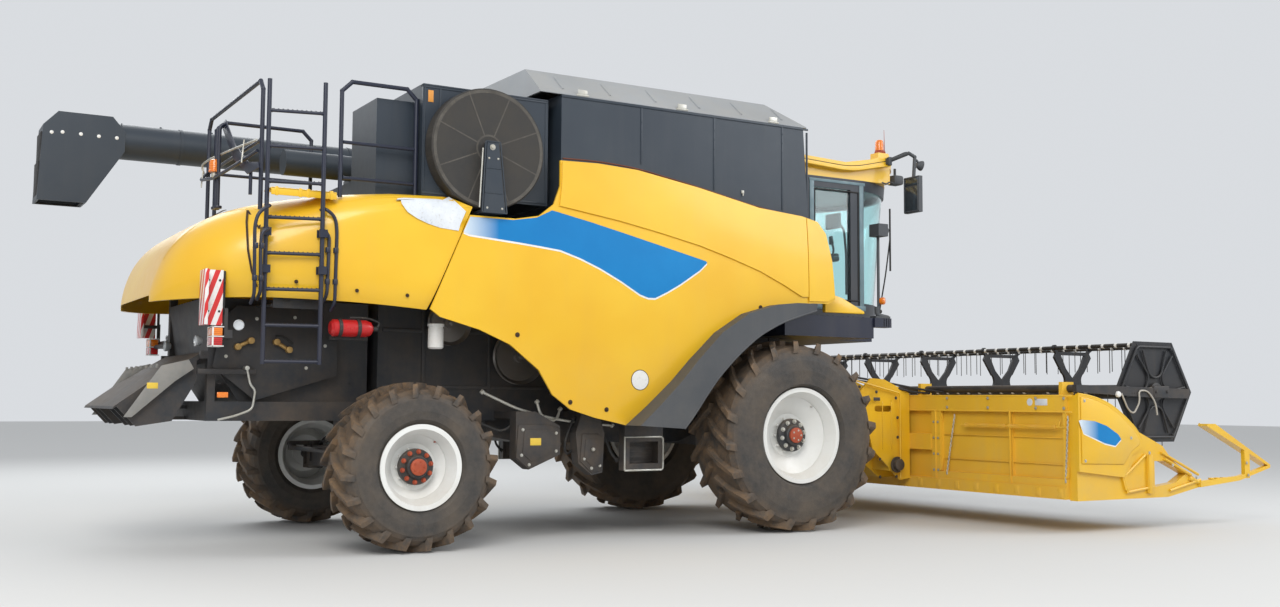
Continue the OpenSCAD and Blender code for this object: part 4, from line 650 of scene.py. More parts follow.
band = {
    "outline": [(-3.302, 2.502), (-3.25, 2.485), (-2.81, 2.449), (-2.63, 2.432), (-2.44, 2.412), (-2.25, 2.355),
                (-2.06, 2.281), (-1.86, 2.185), (-1.67, 2.079), (-1.59, 2.055), (-1.52, 2.056), (-1.40, 2.113),
                (-1.27, 2.185), (-1.17, 2.250), (-1.06, 2.322), (-0.985, 2.392), (-1.0, 2.405), (-1.44, 2.505),
                (-1.87, 2.602), (-2.16, 2.665), (-2.45, 2.722), (-2.52, 2.735), (-2.66, 2.664), (-2.87, 2.628),
                (-3.245, 2.626)],
    "edge": 0.016,
}
hoodPlate = {"outline": [(-3.85, 2.775), (-3.83, 2.805), (-3.76, 2.826), (-3.67, 2.832), (-3.57, 2.822), (-3.47, 2.785),
                         (-3.38, 2.735), (-3.285, 2.665), (-3.33, 2.56), (-3.345, 2.505), (-3.50, 2.518),
                         (-3.60, 2.543), (-3.69, 2.577), (-3.77, 2.620), (-3.82, 2.68)]}
roundSign = {"centre": (-1.667, 1.351), "radius": 0.088, "ring": 0.006}


def circle(centre, radius):
    return [(x, z) for x, _, z in ringOf(radius, 32, (centre[0], 0, centre[1]))]


def edged(outline, width, count):
    # the outline with the first points, its lower side, let down by the width of the edge
    return [(x, z - width) if i < count else (x, z) for i, (x, z) in enumerate(outline)]


addHoodSkin(hoodSkin)
addLaid("bandEdge", "side_shield_right", "shield_SIDE", "plateWhite", "painted_yellow",
        edged(band["outline"], band["edge"], 16), 0.0010)
addLaid("band", "side_shield_right", "shield_SIDE", "bandBlue", "painted_yellow", band["outline"], 0.0022)
addLaid("hoodPlate", "rear_hood", "machine", "plateSilver", "painted_yellow", hoodPlate["outline"], 0.002, lift=0.006)
addLaid("signRing", "side_shield_right", "shield_SIDE", "seamDark", "painted_yellow",
        circle(roundSign["centre"], roundSign["radius"]), 0.0012, step=0.2)
addLaid("sign", "side_shield_right", "shield_SIDE", "plateWhite", "painted_yellow",
        circle(roundSign["centre"], roundSign["radius"] - roundSign["ring"]), 0.0022, step=0.2)
print("skins ready")


# dust screen, its duct, cooling box, rear deck, ladder and hood fittings

screen = {"centre": (-3.09, -1.6002, 3.19), "thick": 0.0007, "rim": (0.452, 0.478), "hub": (0.098, 0.113),
          "seam": 0.005, "arms": 8, "bolts": (0.465, 12)}


def addScreen(spec):
    shape = bmesh.new()
    x, face, z = spec["centre"]
    for inner, outer in (spec["rim"], spec["hub"]):
        addLathe(shape, [(inner, 0), (outer, 0), (outer, spec["thick"]), (inner, spec["thick"]), (inner, 0)],
                 spec["centre"], sideways, 64)
    for k in range(spec["arms"]):
        a = math.tau * (k + 0.5) / spec["arms"]
        out, across = Vector((math.cos(a), math.sin(a))), Vector((-math.sin(a), math.cos(a))) * spec["seam"]
        corners = ((spec["hub"][1], -1), (spec["rim"][0], -1), (spec["rim"][0], 1), (spec["hub"][1], 1))
        addPlate(shape, [Vector((x, z)) + out * r + across * s for r, s in corners], "y", face, -spec["thick"])
    radius, count = spec["bolts"]
    bolts(shape, ringOf(radius, count, spec["centre"], 0.13), sideways, 0.005, 0.0009)
    fitted(shape, "screenSeams", "dust_screen", "dustyEdge", "mesh_steel")


addScreen(screen)

ductFace = -1.6665
ductEdges = {"name": "ductEdges", "finish": "tank_grey", "rows": [
    *[(addRod, (x0, ductFace, z0), (x1, ductFace, z1), 0.006, 10) for x0, z0, x1, z1 in (
        (-3.172, 2.665, -3.148, 3.235), (-2.958, 2.665, -3.022, 3.235), (-3.148, 3.235, -3.022, 3.235),
        (-3.172, 2.665, -2.958, 2.665))],
    *[(addRod, (-3.15, ductFace, z), (-3.0, ductFace, z), 0.0036, 8) for z in (2.82, 3.02)],
]}
ductBolts = {"name": "ductBolts", "finish": "zincPale", "slot": "tank_grey", "rows": [
    (bolts, [(-3.09, ductFace, 3.19)], sideways, 0.016, 0.014),
    (bolts, onSide(ductFace, ((-3.13, 2.70), (-3.0, 2.70), (-3.12, 3.10), (-3.04, 3.10))),
     sideways, 0.006, 0.006),
    (addRod, (-3.19, -1.652, 2.70), (-3.166, -1.652, 3.18), 0.007, 10),
]}

boxRear, boxFront, boxSide, boxLow, boxTop = -3.598, -2.50, -1.4505, 2.80, 3.686
coolingBoxTrim = {"name": "coolingBoxTrim", "finish": "tank_grey", "rows": [
    # angle bars of the side and the rear face
    *[(addBox, (x - 0.006, boxSide - 0.004, boxLow), (x + 0.006, boxSide, boxTop - 0.01), 0.002)
      for x in (boxRear + 0.012, -3.455, boxFront - 0.012)],
    *[(addBox, (boxRear, boxSide - 0.005, z - 0.008), (boxFront, boxSide, z + 0.008), 0.002)
      for z in (boxLow + 0.012, boxTop - 0.02)],
    *[(addBox, (boxRear - 0.005, y - 0.01, boxLow), (boxRear, y + 0.01, boxTop - 0.004), 0.002)
      for y in (-1.44, -0.57)],
    # rear door, its hinges and slats
    (addBox, (boxRear - 0.010, -1.36, 2.90), (boxRear, -0.66, 3.58), 0.004),
    *[(addRod, (boxRear - 0.012, -0.655, z), (boxRear - 0.012, -0.655, z + 0.09), 0.010, 12) for z in (3.0, 3.48)],
    *[(addBox, (boxRear - 0.018, -1.30, 3.28 + 0.03 * k), (boxRear - 0.008, -0.74, 3.292 + 0.03 * k), 0.003)
      for k in range(9)],
    # top rim and lifting eyes
    (addBox, (boxRear - 0.008, boxSide - 0.008, boxTop - 0.012), (boxFront + 0.004, boxSide + 0.05, boxTop + 0.002),
     0.003),
    *[(addTube, [(x - 0.03, -1.30, 3.68), (x - 0.03, -1.30, 3.70), (x + 0.03, -1.30, 3.70), (x + 0.03, -1.30, 3.68)],
       0.006, 0.02, 8) for x in (-3.50, -2.62)],
]}
boxHandle = {"name": "boxHandle", "finish": "labelYellow", "slot": "tank_grey", "rows": [
    (addTube, [(-3.47, boxSide, 3.06), (-3.47, boxSide - 0.03, 3.07), (-3.47, boxSide - 0.03, 3.19),
               (-3.47, boxSide, 3.20)], 0.006, 0.02, 8),
    (addBox, (-3.482, boxSide - 0.008, 3.22), (-3.458, boxSide, 3.26), 0.003),
]}
boxLabel = {"name": "boxLabel", "finish": "labelOrange", "slot": "tank_grey", "rows": [
    (addBox, (-3.56, boxSide - 0.0022, 3.545), (-3.515, boxSide, 3.64), 0.0006),
]}
# worn pale clips of the air duct on the rear face
boxClips = {"name": "boxClips", "finish": "zincPale", "slot": "tank_grey", "rows": [
    (addRod, (-3.66, -1.20, 2.93), (-3.60, -1.20, 2.93), 0.018, 16, None, 0.003),
    (addTube, [(-3.62, -1.16, 2.93), (-3.66, -1.10, 2.94), (-3.64, -1.02, 2.91), (-3.60, -1.0, 2.93)], 0.012, 0.04),
    (bolts, [(-3.605, y, z) for y in (-1.34, -0.68) for z in (2.92, 3.24, 3.56)], rearwards, 0.006, 0.006),
]}

filterCan = {"name": "filterCan", "finish": "plateWhite", "slot": "chassis_black", "rows": [
    (addLathe, [(0.001, 0), (0.0496, 0), (0.062, 0.012), (0.062, 0.160), (0.0558, 0.172), (0.0558, 0.180),
                (0.06696, 0.182), (0.06696, 0.20), (0.001, 0.20)], (-3.40, -1.30, 1.58), upwards, 36),
]}

stepRear, stepFront, stepRight, stepLeft, stepZ = -4.78, -4.28, -1.435, -1.22, 2.742
hoodStep = {"name": "hoodStep", "finish": "painted_yellow", "rows": [
    (addBox, (stepRear, stepRight, stepZ), (stepFront, stepLeft, stepZ + 0.012), 0.004),
    (addBox, (stepRear, stepRight, stepZ - 0.045), (stepFront, stepRight + 0.008, stepZ + 0.010), 0.003),
    *[(addBox, (x - 0.012, stepRight - 0.004, stepZ - 0.05), (x + 0.012, stepRight + 0.004, stepZ + 0.018), 0.003)
      for x in (-4.74, -4.56, -4.50, -4.32)],
    *[(addBox, (x - 0.008, stepRight + 0.02, stepZ + 0.010), (x + 0.008, stepLeft - 0.02, stepZ + 0.017), 0.002)
      for x in [stepRear + 0.05 + 0.05 * k for k in range(9)]],
]}

guides = {
    # how deep the upper end reaches into the hood, and the line down to the lower one
    "lines": [(-1.30, [(-4.79, 2.612), (-4.88, 2.55), (-4.905, 2.45), (-4.895, 1.93)]),
              (-1.30, [(-4.385, 2.62), (-4.30, 2.56), (-4.285, 2.45), (-4.29, 1.90)]),
              (-1.38, [(-4.80, 2.44), (-4.852, 2.40), (-4.858, 2.30), (-4.85, 1.96)]),
              (-1.38, [(-4.385, 2.45), (-4.345, 2.41), (-4.345, 2.30), (-4.352, 1.96)])],
    "y": -1.475, "radius": 0.0135, "collars": (2.06, 2.30),
}


def addGuides(spec):
    shape = bmesh.new()
    y, radius = spec["y"], spec["radius"]
    for deep, line in spec["lines"]:
        foot = line[-1][0]
        addTube(shape, [(line[0][0], deep, line[0][1] - 0.01), *onSide(y, line),
                        (foot, y + 0.10, line[-1][1] - 0.05)], radius, 0.05, 12)
        for z in spec["collars"]:
            addRod(shape, (foot, y, z - 0.02), (foot, y, z + 0.02), radius * 1.5, 14, bevel=0.002)
    fitted(shape, "ladderGuides", "machine", "rail_navy")


ladderTread = {"rear": (-4.80, -1.388), "front": (-4.40, -1.480), "first": 1.450, "step": 0.270, "count": 8,
               "radius": 0.013, "knobs": 11, "collars": (0.055, 0.945)}


def addTreads(spec):
    # knobs that stand up along the round rungs, a collar at each end
    shape = bmesh.new()
    rear, front, radius = Vector(spec["rear"]), Vector(spec["front"]), spec["radius"]
    way = (front - rear).normalized() * 0.004
    for k in range(spec["count"]):
        z = spec["first"] + spec["step"] * k
        for n in range(spec["knobs"]):
            x, y = rear.lerp(front, (n + 1) / 12)
            addRod(shape, (x, y, z), (x, y, z + radius + 0.004), 0.007, 8, 0.005)
        for share in spec["collars"]:
            x, y = rear.lerp(front, share)
            addRod(shape, (x - way.x, y - way.y, z), (x + way.x, y + way.y, z), radius + 0.003, 16)
    fitted(shape, "ladderTreads", "rear_ladder", "rail_navy")


deckPosts = {"name": "deckPosts", "finish": "rail_navy", "rows": [
    *[(addTube, [(-4.905, y, 2.735), (-4.905, y, 3.41), (-4.845, y, 3.44)], 0.016, 0.05, 12) for y in (-0.18, -0.26)],
    *[(addRod, (-4.905, y, 2.725), (-4.905, y, 2.747), 0.034, 20, None, 0.003) for y in (-0.18, -0.26)],
    # rail that carries the light strip, bowed to the rear
    (addTube, [(-4.83, -1.19, 3.06), (-4.90, -0.9, 3.00), (-4.93, -0.2, 2.98), (-4.90, 0.45, 3.06),
               (-4.80, 0.59, 3.16)], 0.014, 0.2, 12),
]}
deckStrip = {"name": "deckStrip", "finish": "zincPale", "slot": "rail_navy", "rows": [
    (addTube, [(-4.86, -1.28, 3.125), (-4.88, -0.6, 3.16), (-4.90, 0.1, 3.19), (-4.88, 0.50, 3.20),
               (-4.84, 0.60, 3.15)], 0.009, 0.12, 10),
    (addRod, (-4.93, -0.22, 2.985), (-4.93, -0.22, 3.03), 0.024, 20, None, 0.003),
    *[(addRod, (-4.90, y, 2.99), (-4.885, y, 3.17), 0.006, 8) for y in (-1.0, -0.22, 0.4)],
]}
deckBeacon = {"name": "deckBeacon", "finish": "lamp_amber", "rows": [
    (addLathe, [(0.001, 0), (0.047, 0), (0.047, 0.012), (0.043, 0.016), (0.043, 0.075), (0.036, 0.098),
                (0.018, 0.108), (0.001, 0.110)], (-4.93, -0.22, 3.028), upwards, 36),
]}
deckCradle = {"name": "deckCradle", "finish": "rail_navy", "rows": [
    (addPlate, [(-0.10, 3.45), (-0.25, 3.47), (-0.60, 3.20), (-1.05, 2.99), (-1.33, 2.95), (-1.36, 2.90),
                (-1.02, 2.90), (-0.56, 3.09)], "x", -4.86, 0.008, 0.002),
    (addRod, (-4.84, -1.05, 2.74), (-4.84, -1.05, 2.99), 0.014, 12),
]}

hoodSeam = {"line": [(-4.985, 2.62), (-4.995, 2.45), (-4.98, 2.25), (-4.95, 2.10), (-4.91, 1.985)], "wide": 0.016,
            "inner": 0.42, "turn": 1.5, "first": 15, "lifts": (0.0005, 0.0040)}


def addHoodSeam(spec):
    # dark line where the hinged tail of the hood meets it, down the side and over the top
    line, half = spec["line"], spec["wide"] / 2
    outline = [(x - half, z) for x, z in line] + [(x + half, z) for x, z in reversed(line)]
    addLaid("hoodSeam", "rear_hood", "machine", "seamDark", "painted_yellow", outline, 0.0015, lift=0.004, step=0.05)
    # over the top, found from a line inside the hood
    (x, top), shape = line[0], bmesh.new()
    rows = []
    for k in range(101):
        a = math.radians(spec["first"] + spec["turn"] * k)
        out = Vector((0, math.cos(a), math.sin(a)))
        row = []
        for edge in (-half, half):
            hit, normal, _, _ = surface("rear_hood").ray_cast(at(x + edge, 0, top - spec["inner"]) + out * clear, -out)
            if hit is not None and hit.z > top - 0.002:
                row += [hit - at(0, 0, 0) + normal * lift for lift in spec["lifts"]]
        if len(row) == 4:
            rows.append([shape.verts.new(spot) for spot in row])
    for one, two in zip(rows, rows[1:]):
        for i, j in ((0, 1), (1, 3), (3, 2), (2, 0)):
            shape.faces.new((one[i], one[j], two[j], two[i]))
    for end in (rows[0], rows[-1]):
        shape.faces.new([end[i] for i in (0, 1, 3, 2)])
    fitted(shape, "hoodSeamTop", "machine", "seamDark", "painted_yellow")


hoodCatches = {"name": "hoodCatches", "finish": "seamDark", "slot": "painted_yellow", "rows": [
    (bolts, [surface("rear_hood").find_nearest(at(x, -1.6, z))[0] - at(0, 0, 0)
             for x, z in ((-4.15, 1.945), (-3.75, 1.955), (-4.62, 1.965))], sideways, 0.010, 0.008),
]}

for spec in (ductEdges, ductBolts, coolingBoxTrim, boxHandle, boxLabel, boxClips, filterCan, hoodStep):
    make(spec)
addGuides(guides)
addTreads(ladderTread)
for spec in (deckPosts, deckStrip, deckBeacon, deckCradle):
    make(spec)
addHoodSeam(hoodSeam)
make(hoodCatches)
print("deck ready")

# striped boards, tail lamps, castings and plates of the tail, extinguisher and straw deflector

boardLow, boardHigh = 1.712, 2.122
boardPieces = [
    {"name": "rearBoards", "finish": "stripes", "slot": "chassis_black", "both": True, "rows": [
        (addBox, (-5.22, -1.36, boardLow), (-5.195, -1.17, boardHigh), 0.002)]},
    {"name": "sideBoards", "finish": "stripes", "slot": "chassis_black", "both": True, "rows": [
        (addBox, (-5.200, -1.285, boardLow), (-5.075, -1.281, boardHigh), 0.001)]},
    {"name": "boardBrackets", "finish": "chassis_black", "both": True, "rows": [
        *[(addBox, (-5.18, -1.262, z), (-5.055, -1.250, z + 0.03), 0.003) for z in (1.80, 2.03)],
        (bolts, [(x, -1.2855, z) for z in (1.815, 2.045) for x in (-5.10, -5.18)], sideways, 0.006, 0.005),
        (addRod, (-5.06, -1.24, 1.70), (-5.06, -1.24, 2.12), 0.012, 12)]},
]

# corners of the tail lamp, the height between its two colours
lampRear, lampRight, lampFoot = -5.144, -1.296, 1.555
lampFront, lampLeft, lampTop, lampMiddle = -5.062, -1.14, 1.705, 1.630
tailLampPieces = [
    {"name": "tailLampRims", "finish": "plateWhite", "slot": "lamp_amber", "both": True, "rows": [
        *[(addBox, (lampRear - 0.004, lampRight - 0.003, z0), (lampFront, lampLeft + 0.002, z0 + 0.008), 0.002)
          for z0 in (lampFoot, lampTop - 0.008, lampMiddle - 0.004)],
        *[(addBox, (lampRear - 0.004, y0, lampFoot), (lampRear + 0.008, y0 + 0.009, lampTop), 0.002)
          for y0 in (lampRight - 0.003, lampLeft - 0.006)]]},
    {"name": "tailAmber", "finish": "lamp_amber", "both": True, "rows": [
        (addBox, (lampRear - 0.003, lampRight - 0.001, lampMiddle + 0.005),
         (lampFront - 0.01, lampLeft, lampTop - 0.009), 0.006)]},
    {"name": "tailRed", "finish": "lampRed", "slot": "lamp_amber", "both": True, "rows": [
        (addBox, (lampRear - 0.003, lampRight - 0.001, lampFoot + 0.009),
         (lampFront - 0.01, lampLeft, lampMiddle - 0.005), 0.006)]},
    {"name": "roundLamps", "finish": "lensClear", "slot": "lamp_amber", "both": True, "rows": [
        (addLamp, (-4.95, -1.27, 1.72), sideways, 0.040, 0.05),
        (addLamp, (-5.12, -0.60, 1.62), rearwards, 0.045, 0.05)]},
    {"name": "sideReflectors", "finish": "lamp_amber", "both": True, "rows": [
        (addBox, (x - 0.04, -1.299, z - 0.02), (x + 0.04, -1.293, z + 0.02), 0.004)
        for x, z in ((-5.06, 1.20), (-1.965, 0.60))]},
]

casting = [(-4.80, 1.60, 0.5), (-4.50, 1.59, -0.6)]
castingEnds = [(Vector((x - 0.05, -0.83, z - 0.05 * lean)), Vector((x + 0.05, -0.83, z + 0.05 * lean)))
               for x, z, lean in casting]
tailPieces = [
    # side sheet of the straw channel with a turned edge, set back behind the rungs
    {"name": "tailSheets", "finish": "chassis_black", "both": True, "rows": [
        (addPlate, [(-5.03, 1.42), (-4.96, 1.80), (-4.85, 1.90), (-4.30, 1.90), (-4.05, 1.66), (-4.05, 1.36),
                    (-4.70, 1.16)], "y", -0.80, -0.008, 0.002),
        (addPlate, [(-4.70, 1.95), (-4.66, 1.98), (-4.39, 1.98), (-4.35, 1.95), (-4.35, 1.86), (-4.70, 1.86)],
         "y", -1.26, -0.006, 0.002),
        *[(addRod, (x, -1.25, 1.88), (x, -0.79, 1.90), 0.012, 12) for x in (-4.70, -4.35)],
        (addRod, (-5.10, -1.24, 1.63), (-5.06, -0.79, 1.63), 0.02, 14),
        (addBox, (-5.15, -0.865, 1.36), (-4.71, -0.835, 1.40), 0.004)]},
    # black plates and tubes over the slots of the sheets: painted shade in the openings
    {"name": "tailSlots", "finish": "hoseBlackAndSlotShade", "slot": "chassis_black", "both": True, "rows": [
        *[(addBox, (x - 0.03, -1.2675, 1.905), (x + 0.03, -1.2655, 1.925), 0.0005) for x in (-4.60, -4.43)],
        *[(addTube, onSide(-0.812, arc), 0.008, 0.05, 8)
          for arc in (((-4.96, 1.78), (-4.97, 1.70), (-4.92, 1.63)), ((-4.55, 1.67), (-4.49, 1.67), (-4.41, 1.61)))]]},
    {"name": "tailCastings", "finish": "brassDull", "slot": "chassis_black", "both": True, "rows": [
        *[(addRod, a, b, 0.016, 14, None, 0.003) for a, b in castingEnds],
        *[(addRod, end + Vector((0, 0.02, 0)), end - Vector((0, 0.035, 0)), 0.026, 18, None, 0.004)
          for ends in castingEnds for end in ends]]},
    {"name": "tailLever", "finish": "zincPale", "slot": "chassis_black", "rows": [
        (addTube, onSide(-0.86, ((-4.78, 1.41), (-4.75, 1.28), (-4.71, 1.24), (-4.73, 1.09), (-4.86, 1.04),
                                 (-4.99, 1.01))), 0.009, 0.04, 10),
        (addRod, (-4.78, -0.88, 1.41), (-4.78, -0.80, 1.41), 0.018, 14, None, 0.003)]},
    {"name": "tailBolts", "finish": "zincPale", "slot": "chassis_black", "both": True, "rows": [
        (bolts, onSide(-0.8085, ((-4.93, 1.50), (-4.70, 1.80), (-4.40, 1.82), (-4.15, 1.60),
                                 (-4.30, 1.42))), sideways, 0.009, 0.008)]},
]

canStart, canStop, canRadius = Vector((-4.28, -1.34, 1.72)), Vector((-3.93, -1.34, 1.72)), 0.066
extinguisherPieces = [
    {"name": "extinguisher", "finish": "redPaint", "slot": "chassis_black", "rows": [
        (addLathe, [(0.001, 0), (0.0462, 0), (0.066, 0.02), (0.066, 0.28), (0.0528, 0.32), (0.0231, 0.34),
                    (0.001, 0.34)], canStart, (1, 0, 0), 40)]},
    {"name": "extinguisherBands", "finish": "hoseBlackAndSlotShade", "slot": "chassis_black", "rows": [
        *[(addBand, canStart.lerp(canStop, share), (1, 0, 0), canRadius - 0.004, canRadius + 0.005, 0.014, 40)
          for share in (0.2, 0.62)],
        (addRod, canStop - Vector((0.012, 0, 0)), canStop + Vector((0.03, 0, 0)), 0.020, 16, None, 0.003),
        (addTube, [canStop + Vector(step) for step in ((0.02, 0, 0), (0.05, 0, 0.05), (-0.06, -0.01, 0.085),
                                                       (-0.20, -0.01, 0.08))], 0.009, 0.05, 10),
        (addBox, (-4.26, -1.29, 1.63), (-3.96, -1.25, 1.67), 0.004),
        (addRod, (-4.10, -1.28, 1.66), (-4.10, -0.80, 1.66), 0.014, 12)]},
]

deflectorPieces = [
    {"name": "deflectorEdges", "body": "straw_deflector", "finish": "deflectorGrey", "slot": "chassis_black",
     "both": True, "rows": [
        (addPlate, [(-5.20, 1.47), (-5.40, 1.42), (-5.66, 1.03), (-5.60, 1.03), (-5.30, 1.30), (-5.16, 1.40)],
         "y", -0.774, -0.006, 0.002),
        *[(addBox, (-5.42, y - 0.006, 1.405), (-5.40, y + 0.006, 1.435), 0.002)
          for y in [-0.66 + 0.22 * k for k in range(7)]]]},
    {"name": "deflectorLabel", "body": "straw_deflector", "finish": "labelYellow", "slot": "chassis_black", "rows": [
        (addBox, (-5.50, -0.7822, 1.245), (-5.42, -0.780, 1.29), 0.0006)]},
]

for spec in boardPieces + tailLampPieces + tailPieces + extinguisherPieces + deflectorPieces:
    make(spec)
print("tail ready")

# cab: roof lip, beacons, mirrors, lamps, wiper, pillars and what stands inside

beaconSpot = (1.63, -0.89, 3.745)
beaconLenses = {"name": "beaconLenses", "finish": "lamp_amber", "both": True, "rows": [
    (addLathe, [(0.001, 0.024), (0.044, 0.024), (0.044, 0.1036), (0.04092, 0.1258), (0.03168, 0.1406),
                (0.0154, 0.14726), (0.001, 0.148)], beaconSpot, upwards, 40),
]}
beaconFeet = {"name": "beaconFeet", "finish": "hubOrange", "slot": "lamp_amber", "both": True, "rows": [
    (addLathe, [(0.001, 0), (0.052, 0), (0.052, 0.016), (0.04752, 0.022), (0.04752, 0.034), (0.04312, 0.036),
                (0.001, 0.036)], beaconSpot, upwards, 40),
    # aerial beside the beacon
    (addRod, (1.665, -0.93, 3.735), (1.65, -0.94, 3.99), 0.0045, 8, 0.002),
    (addRod, (1.665, -0.93, 3.730), (1.665, -0.93, 3.765), 0.010, 12),
]}

roofSide = -0.960
roofLip = [(0.548, 3.552), (1.12, 3.523), (1.30, 3.540), (1.45, 3.572), (1.60, 3.604), (1.715, 3.622)]
roofGroove = [(0.548, 3.588), (1.12, 3.562), (1.30, 3.580), (1.45, 3.614), (1.60, 3.648), (1.715, 3.672)]
roofPieces = [
    {"name": "roofEdgeLow", "finish": "painted_yellow", "both": True, "rows": [
        (addTube, onSide(roofSide, roofLip), 0.011, 0.2, 10)]},
    # a thin dark tube along the groove between the roof's two lips: painted shade in the groove
    {"name": "roofEdgeGroove", "finish": "seamDark", "slot": "painted_yellow", "both": True, "rows": [
        (addTube, onSide(roofSide, roofGroove), 0.0035, 0.2, 10)]},
    {"name": "roofHatch", "finish": "painted_yellow", "rows": [
        (addBox, (0.72, -0.42, 3.705), (1.22, 0.42, 3.728), 0.012),
        *[(addBox, (0.60 + 0.012 * k, -0.30, 3.700), (0.606 + 0.012 * k, 0.30, 3.715), 0.002) for k in range(7)]]},
    # struts between the roof's rear and the tank
    {"name": "roofStruts", "finish": "painted_yellow", "both": True, "rows": [
        (addTube, [(0.58, -0.86, 3.36), (0.70, -0.86, 3.44), (0.84, -0.86, 3.545)], 0.016, 0.05, 10)]},
]

# places and directions of the front lamps, the mirror arm's lamp and the twin lamp on the marker post
frontLamps, twinLamps = [(2.075, y, 3.545) for y in (-0.36, -0.62)], [(1.212, y, 2.85) for y in (-1.465, -1.395)]
armLamp, armLampAxis = (1.93, -1.20, 3.60), (0.9, -0.3, -0.2)
lampPieces = [
    {"name": "lampBodies", "finish": "dark_plastic", "both": True, "rows": [
        *[(addLamp, spot, forwards, 0.055, 0.07) for spot in frontLamps],
        # angular lamp under the roof's corner
        (addBox, (1.80, -0.93, 3.44), (1.93, -0.80, 3.54), 0.022),
        (addRod, (1.86, -0.865, 3.53), (1.86, -0.865, 3.615), 0.014, 12),
        (addLamp, armLamp, armLampAxis, 0.052, 0.06),
        (addRod, (1.86, -1.19, 3.66), (1.90, -1.20, 3.61), 0.012, 12),
        *[(addLamp, spot, forwards, 0.034, 0.03) for spot in twinLamps]]},
    {"name": "lampLenses", "finish": "lensClear", "slot": "lamp_amber", "both": True, "rows": [
        *[(addLathe, [(0.001, 0.003), (0.0451, 0.001), (0.0473, -0.003)], spot, forwards, 32) for spot in frontLamps],
        (addBox, (1.925, -0.915, 3.455), (1.935, -0.815, 3.525), 0.004),
        (addLathe, [(0.001, 0.004), (0.042, 0.002), (0.046, -0.003)], armLamp, armLampAxis, 32),
        *[(addLathe, [(0.001, 0.003), (0.028, 0.001), (0.030, -0.003)], spot, forwards, 28) for spot in twinLamps]]},
    {"name": "markerLens", "finish": "lamp_amber", "both": True, "rows": [
        (addLathe, [(0.001, -0.03), (0.030, -0.03), (0.036, -0.015), (0.036, 0.012), (0.026, 0.022), (0.001, 0.026)],
         (1.175, -1.445, 2.16), (0.6, -0.8, 0), 32)]},
]

mirrorRear, mirrorRight, mirrorLeft, mirrorLow, mirrorHigh = 1.7985, -1.285, -1.075, 3.115, 3.475
mirrorPieces = [
    {"name": "mirrorFrames", "finish": "dark_plastic", "both": True, "rows": [
        *[(addBox, (mirrorRear - 0.010, mirrorRight, z), (mirrorRear + 0.055, mirrorLeft, z + 0.014), 0.005)
          for z in (mirrorLow, mirrorHigh - 0.014)],
        *[(addBox, (mirrorRear - 0.010, y, mirrorLow), (mirrorRear + 0.055, y + 0.012, mirrorHigh), 0.005)
          for y in (mirrorRight, mirrorLeft - 0.012)],
        (addBox, (mirrorRear + 0.045, mirrorRight + 0.01, mirrorLow + 0.01),
         (mirrorRear + 0.058, mirrorLeft - 0.01, mirrorHigh - 0.01), 0.006),
        *[(addRod, (1.83, -1.19, z - 0.016), (1.83, -1.19, z + 0.016), 0.026, 16, None, 0.003) for z in (3.20, 3.36)],
        # folding joint and cable of the arm
        (addRod, (1.68, -0.99, 3.615), (1.68, -0.99, 3.70), 0.024, 18, None, 0.004),
        (addTube, [(1.70, -1.0, 3.69), (1.78, -1.14, 3.745), (1.84, -1.18, 3.71)], 0.007, 0.04, 8),
        (addTube, [(1.62, -0.935, 3.44), (1.66, -0.96, 3.42), (1.70, -0.97, 3.45), (1.76, -0.97, 3.43)],
         0.008, 0.03, 8)]},
    {"name": "mirrorGlass", "finish": "mirrorDark", "slot": "dark_plastic", "both": True, "rows": [
        (addBox, (mirrorRear - 0.003, mirrorRight + 0.012, z0), (mirrorRear, mirrorLeft - 0.012, z1), 0.0008)
        for z0, z1 in ((mirrorLow + 0.014, mirrorHigh - 0.10), (mirrorHigh - 0.085, mirrorHigh - 0.014))]},
]

frontPieces = [
    {"name": "wiper", "finish": "hoseBlackAndSlotShade", "slot": "dark_plastic", "rows": [
        (addRod, (2.10, -0.30, 2.16), (2.15, -0.30, 2.16), 0.022, 16, None, 0.003),
        (addTube, [(2.13, -0.30, 2.16), (2.1595, -0.37, 2.555), (2.165, -0.44, 2.95)], 0.008, 0.1, 8),
        (addBox, (2.153, -0.452, 2.59), (2.169, -0.436, 3.27), 0.003)]},
    {"name": "pillarStrips", "finish": "trimTeal", "slot": "cab_paint", "rows": [
        *[(addBox, (x, -0.906, 2.10), (x + 0.055, -0.8995, 3.40), 0.003) for x in (0.705, 1.345)],
        (addBox, (0.70, -0.907, 3.385), (1.42, -0.8995, 3.415), 0.003),
        (addBox, (0.70, -0.907, 2.10), (1.42, -0.8995, 2.15), 0.004)]},
    {"name": "windowSeal", "finish": "rubberEdge", "slot": "cab_paint", "rows": [
        (addRod, (x0, -0.9015, z0), (x1, -0.9015, z1), 0.008, 10) for x0, z0, x1, z1 in (
            (0.768, 2.20, 1.330, 2.20), (0.768, 3.31, 1.330, 3.31), (0.768, 2.20, 0.768, 3.31),
            (1.330, 2.20, 1.330, 3.31))]},
]

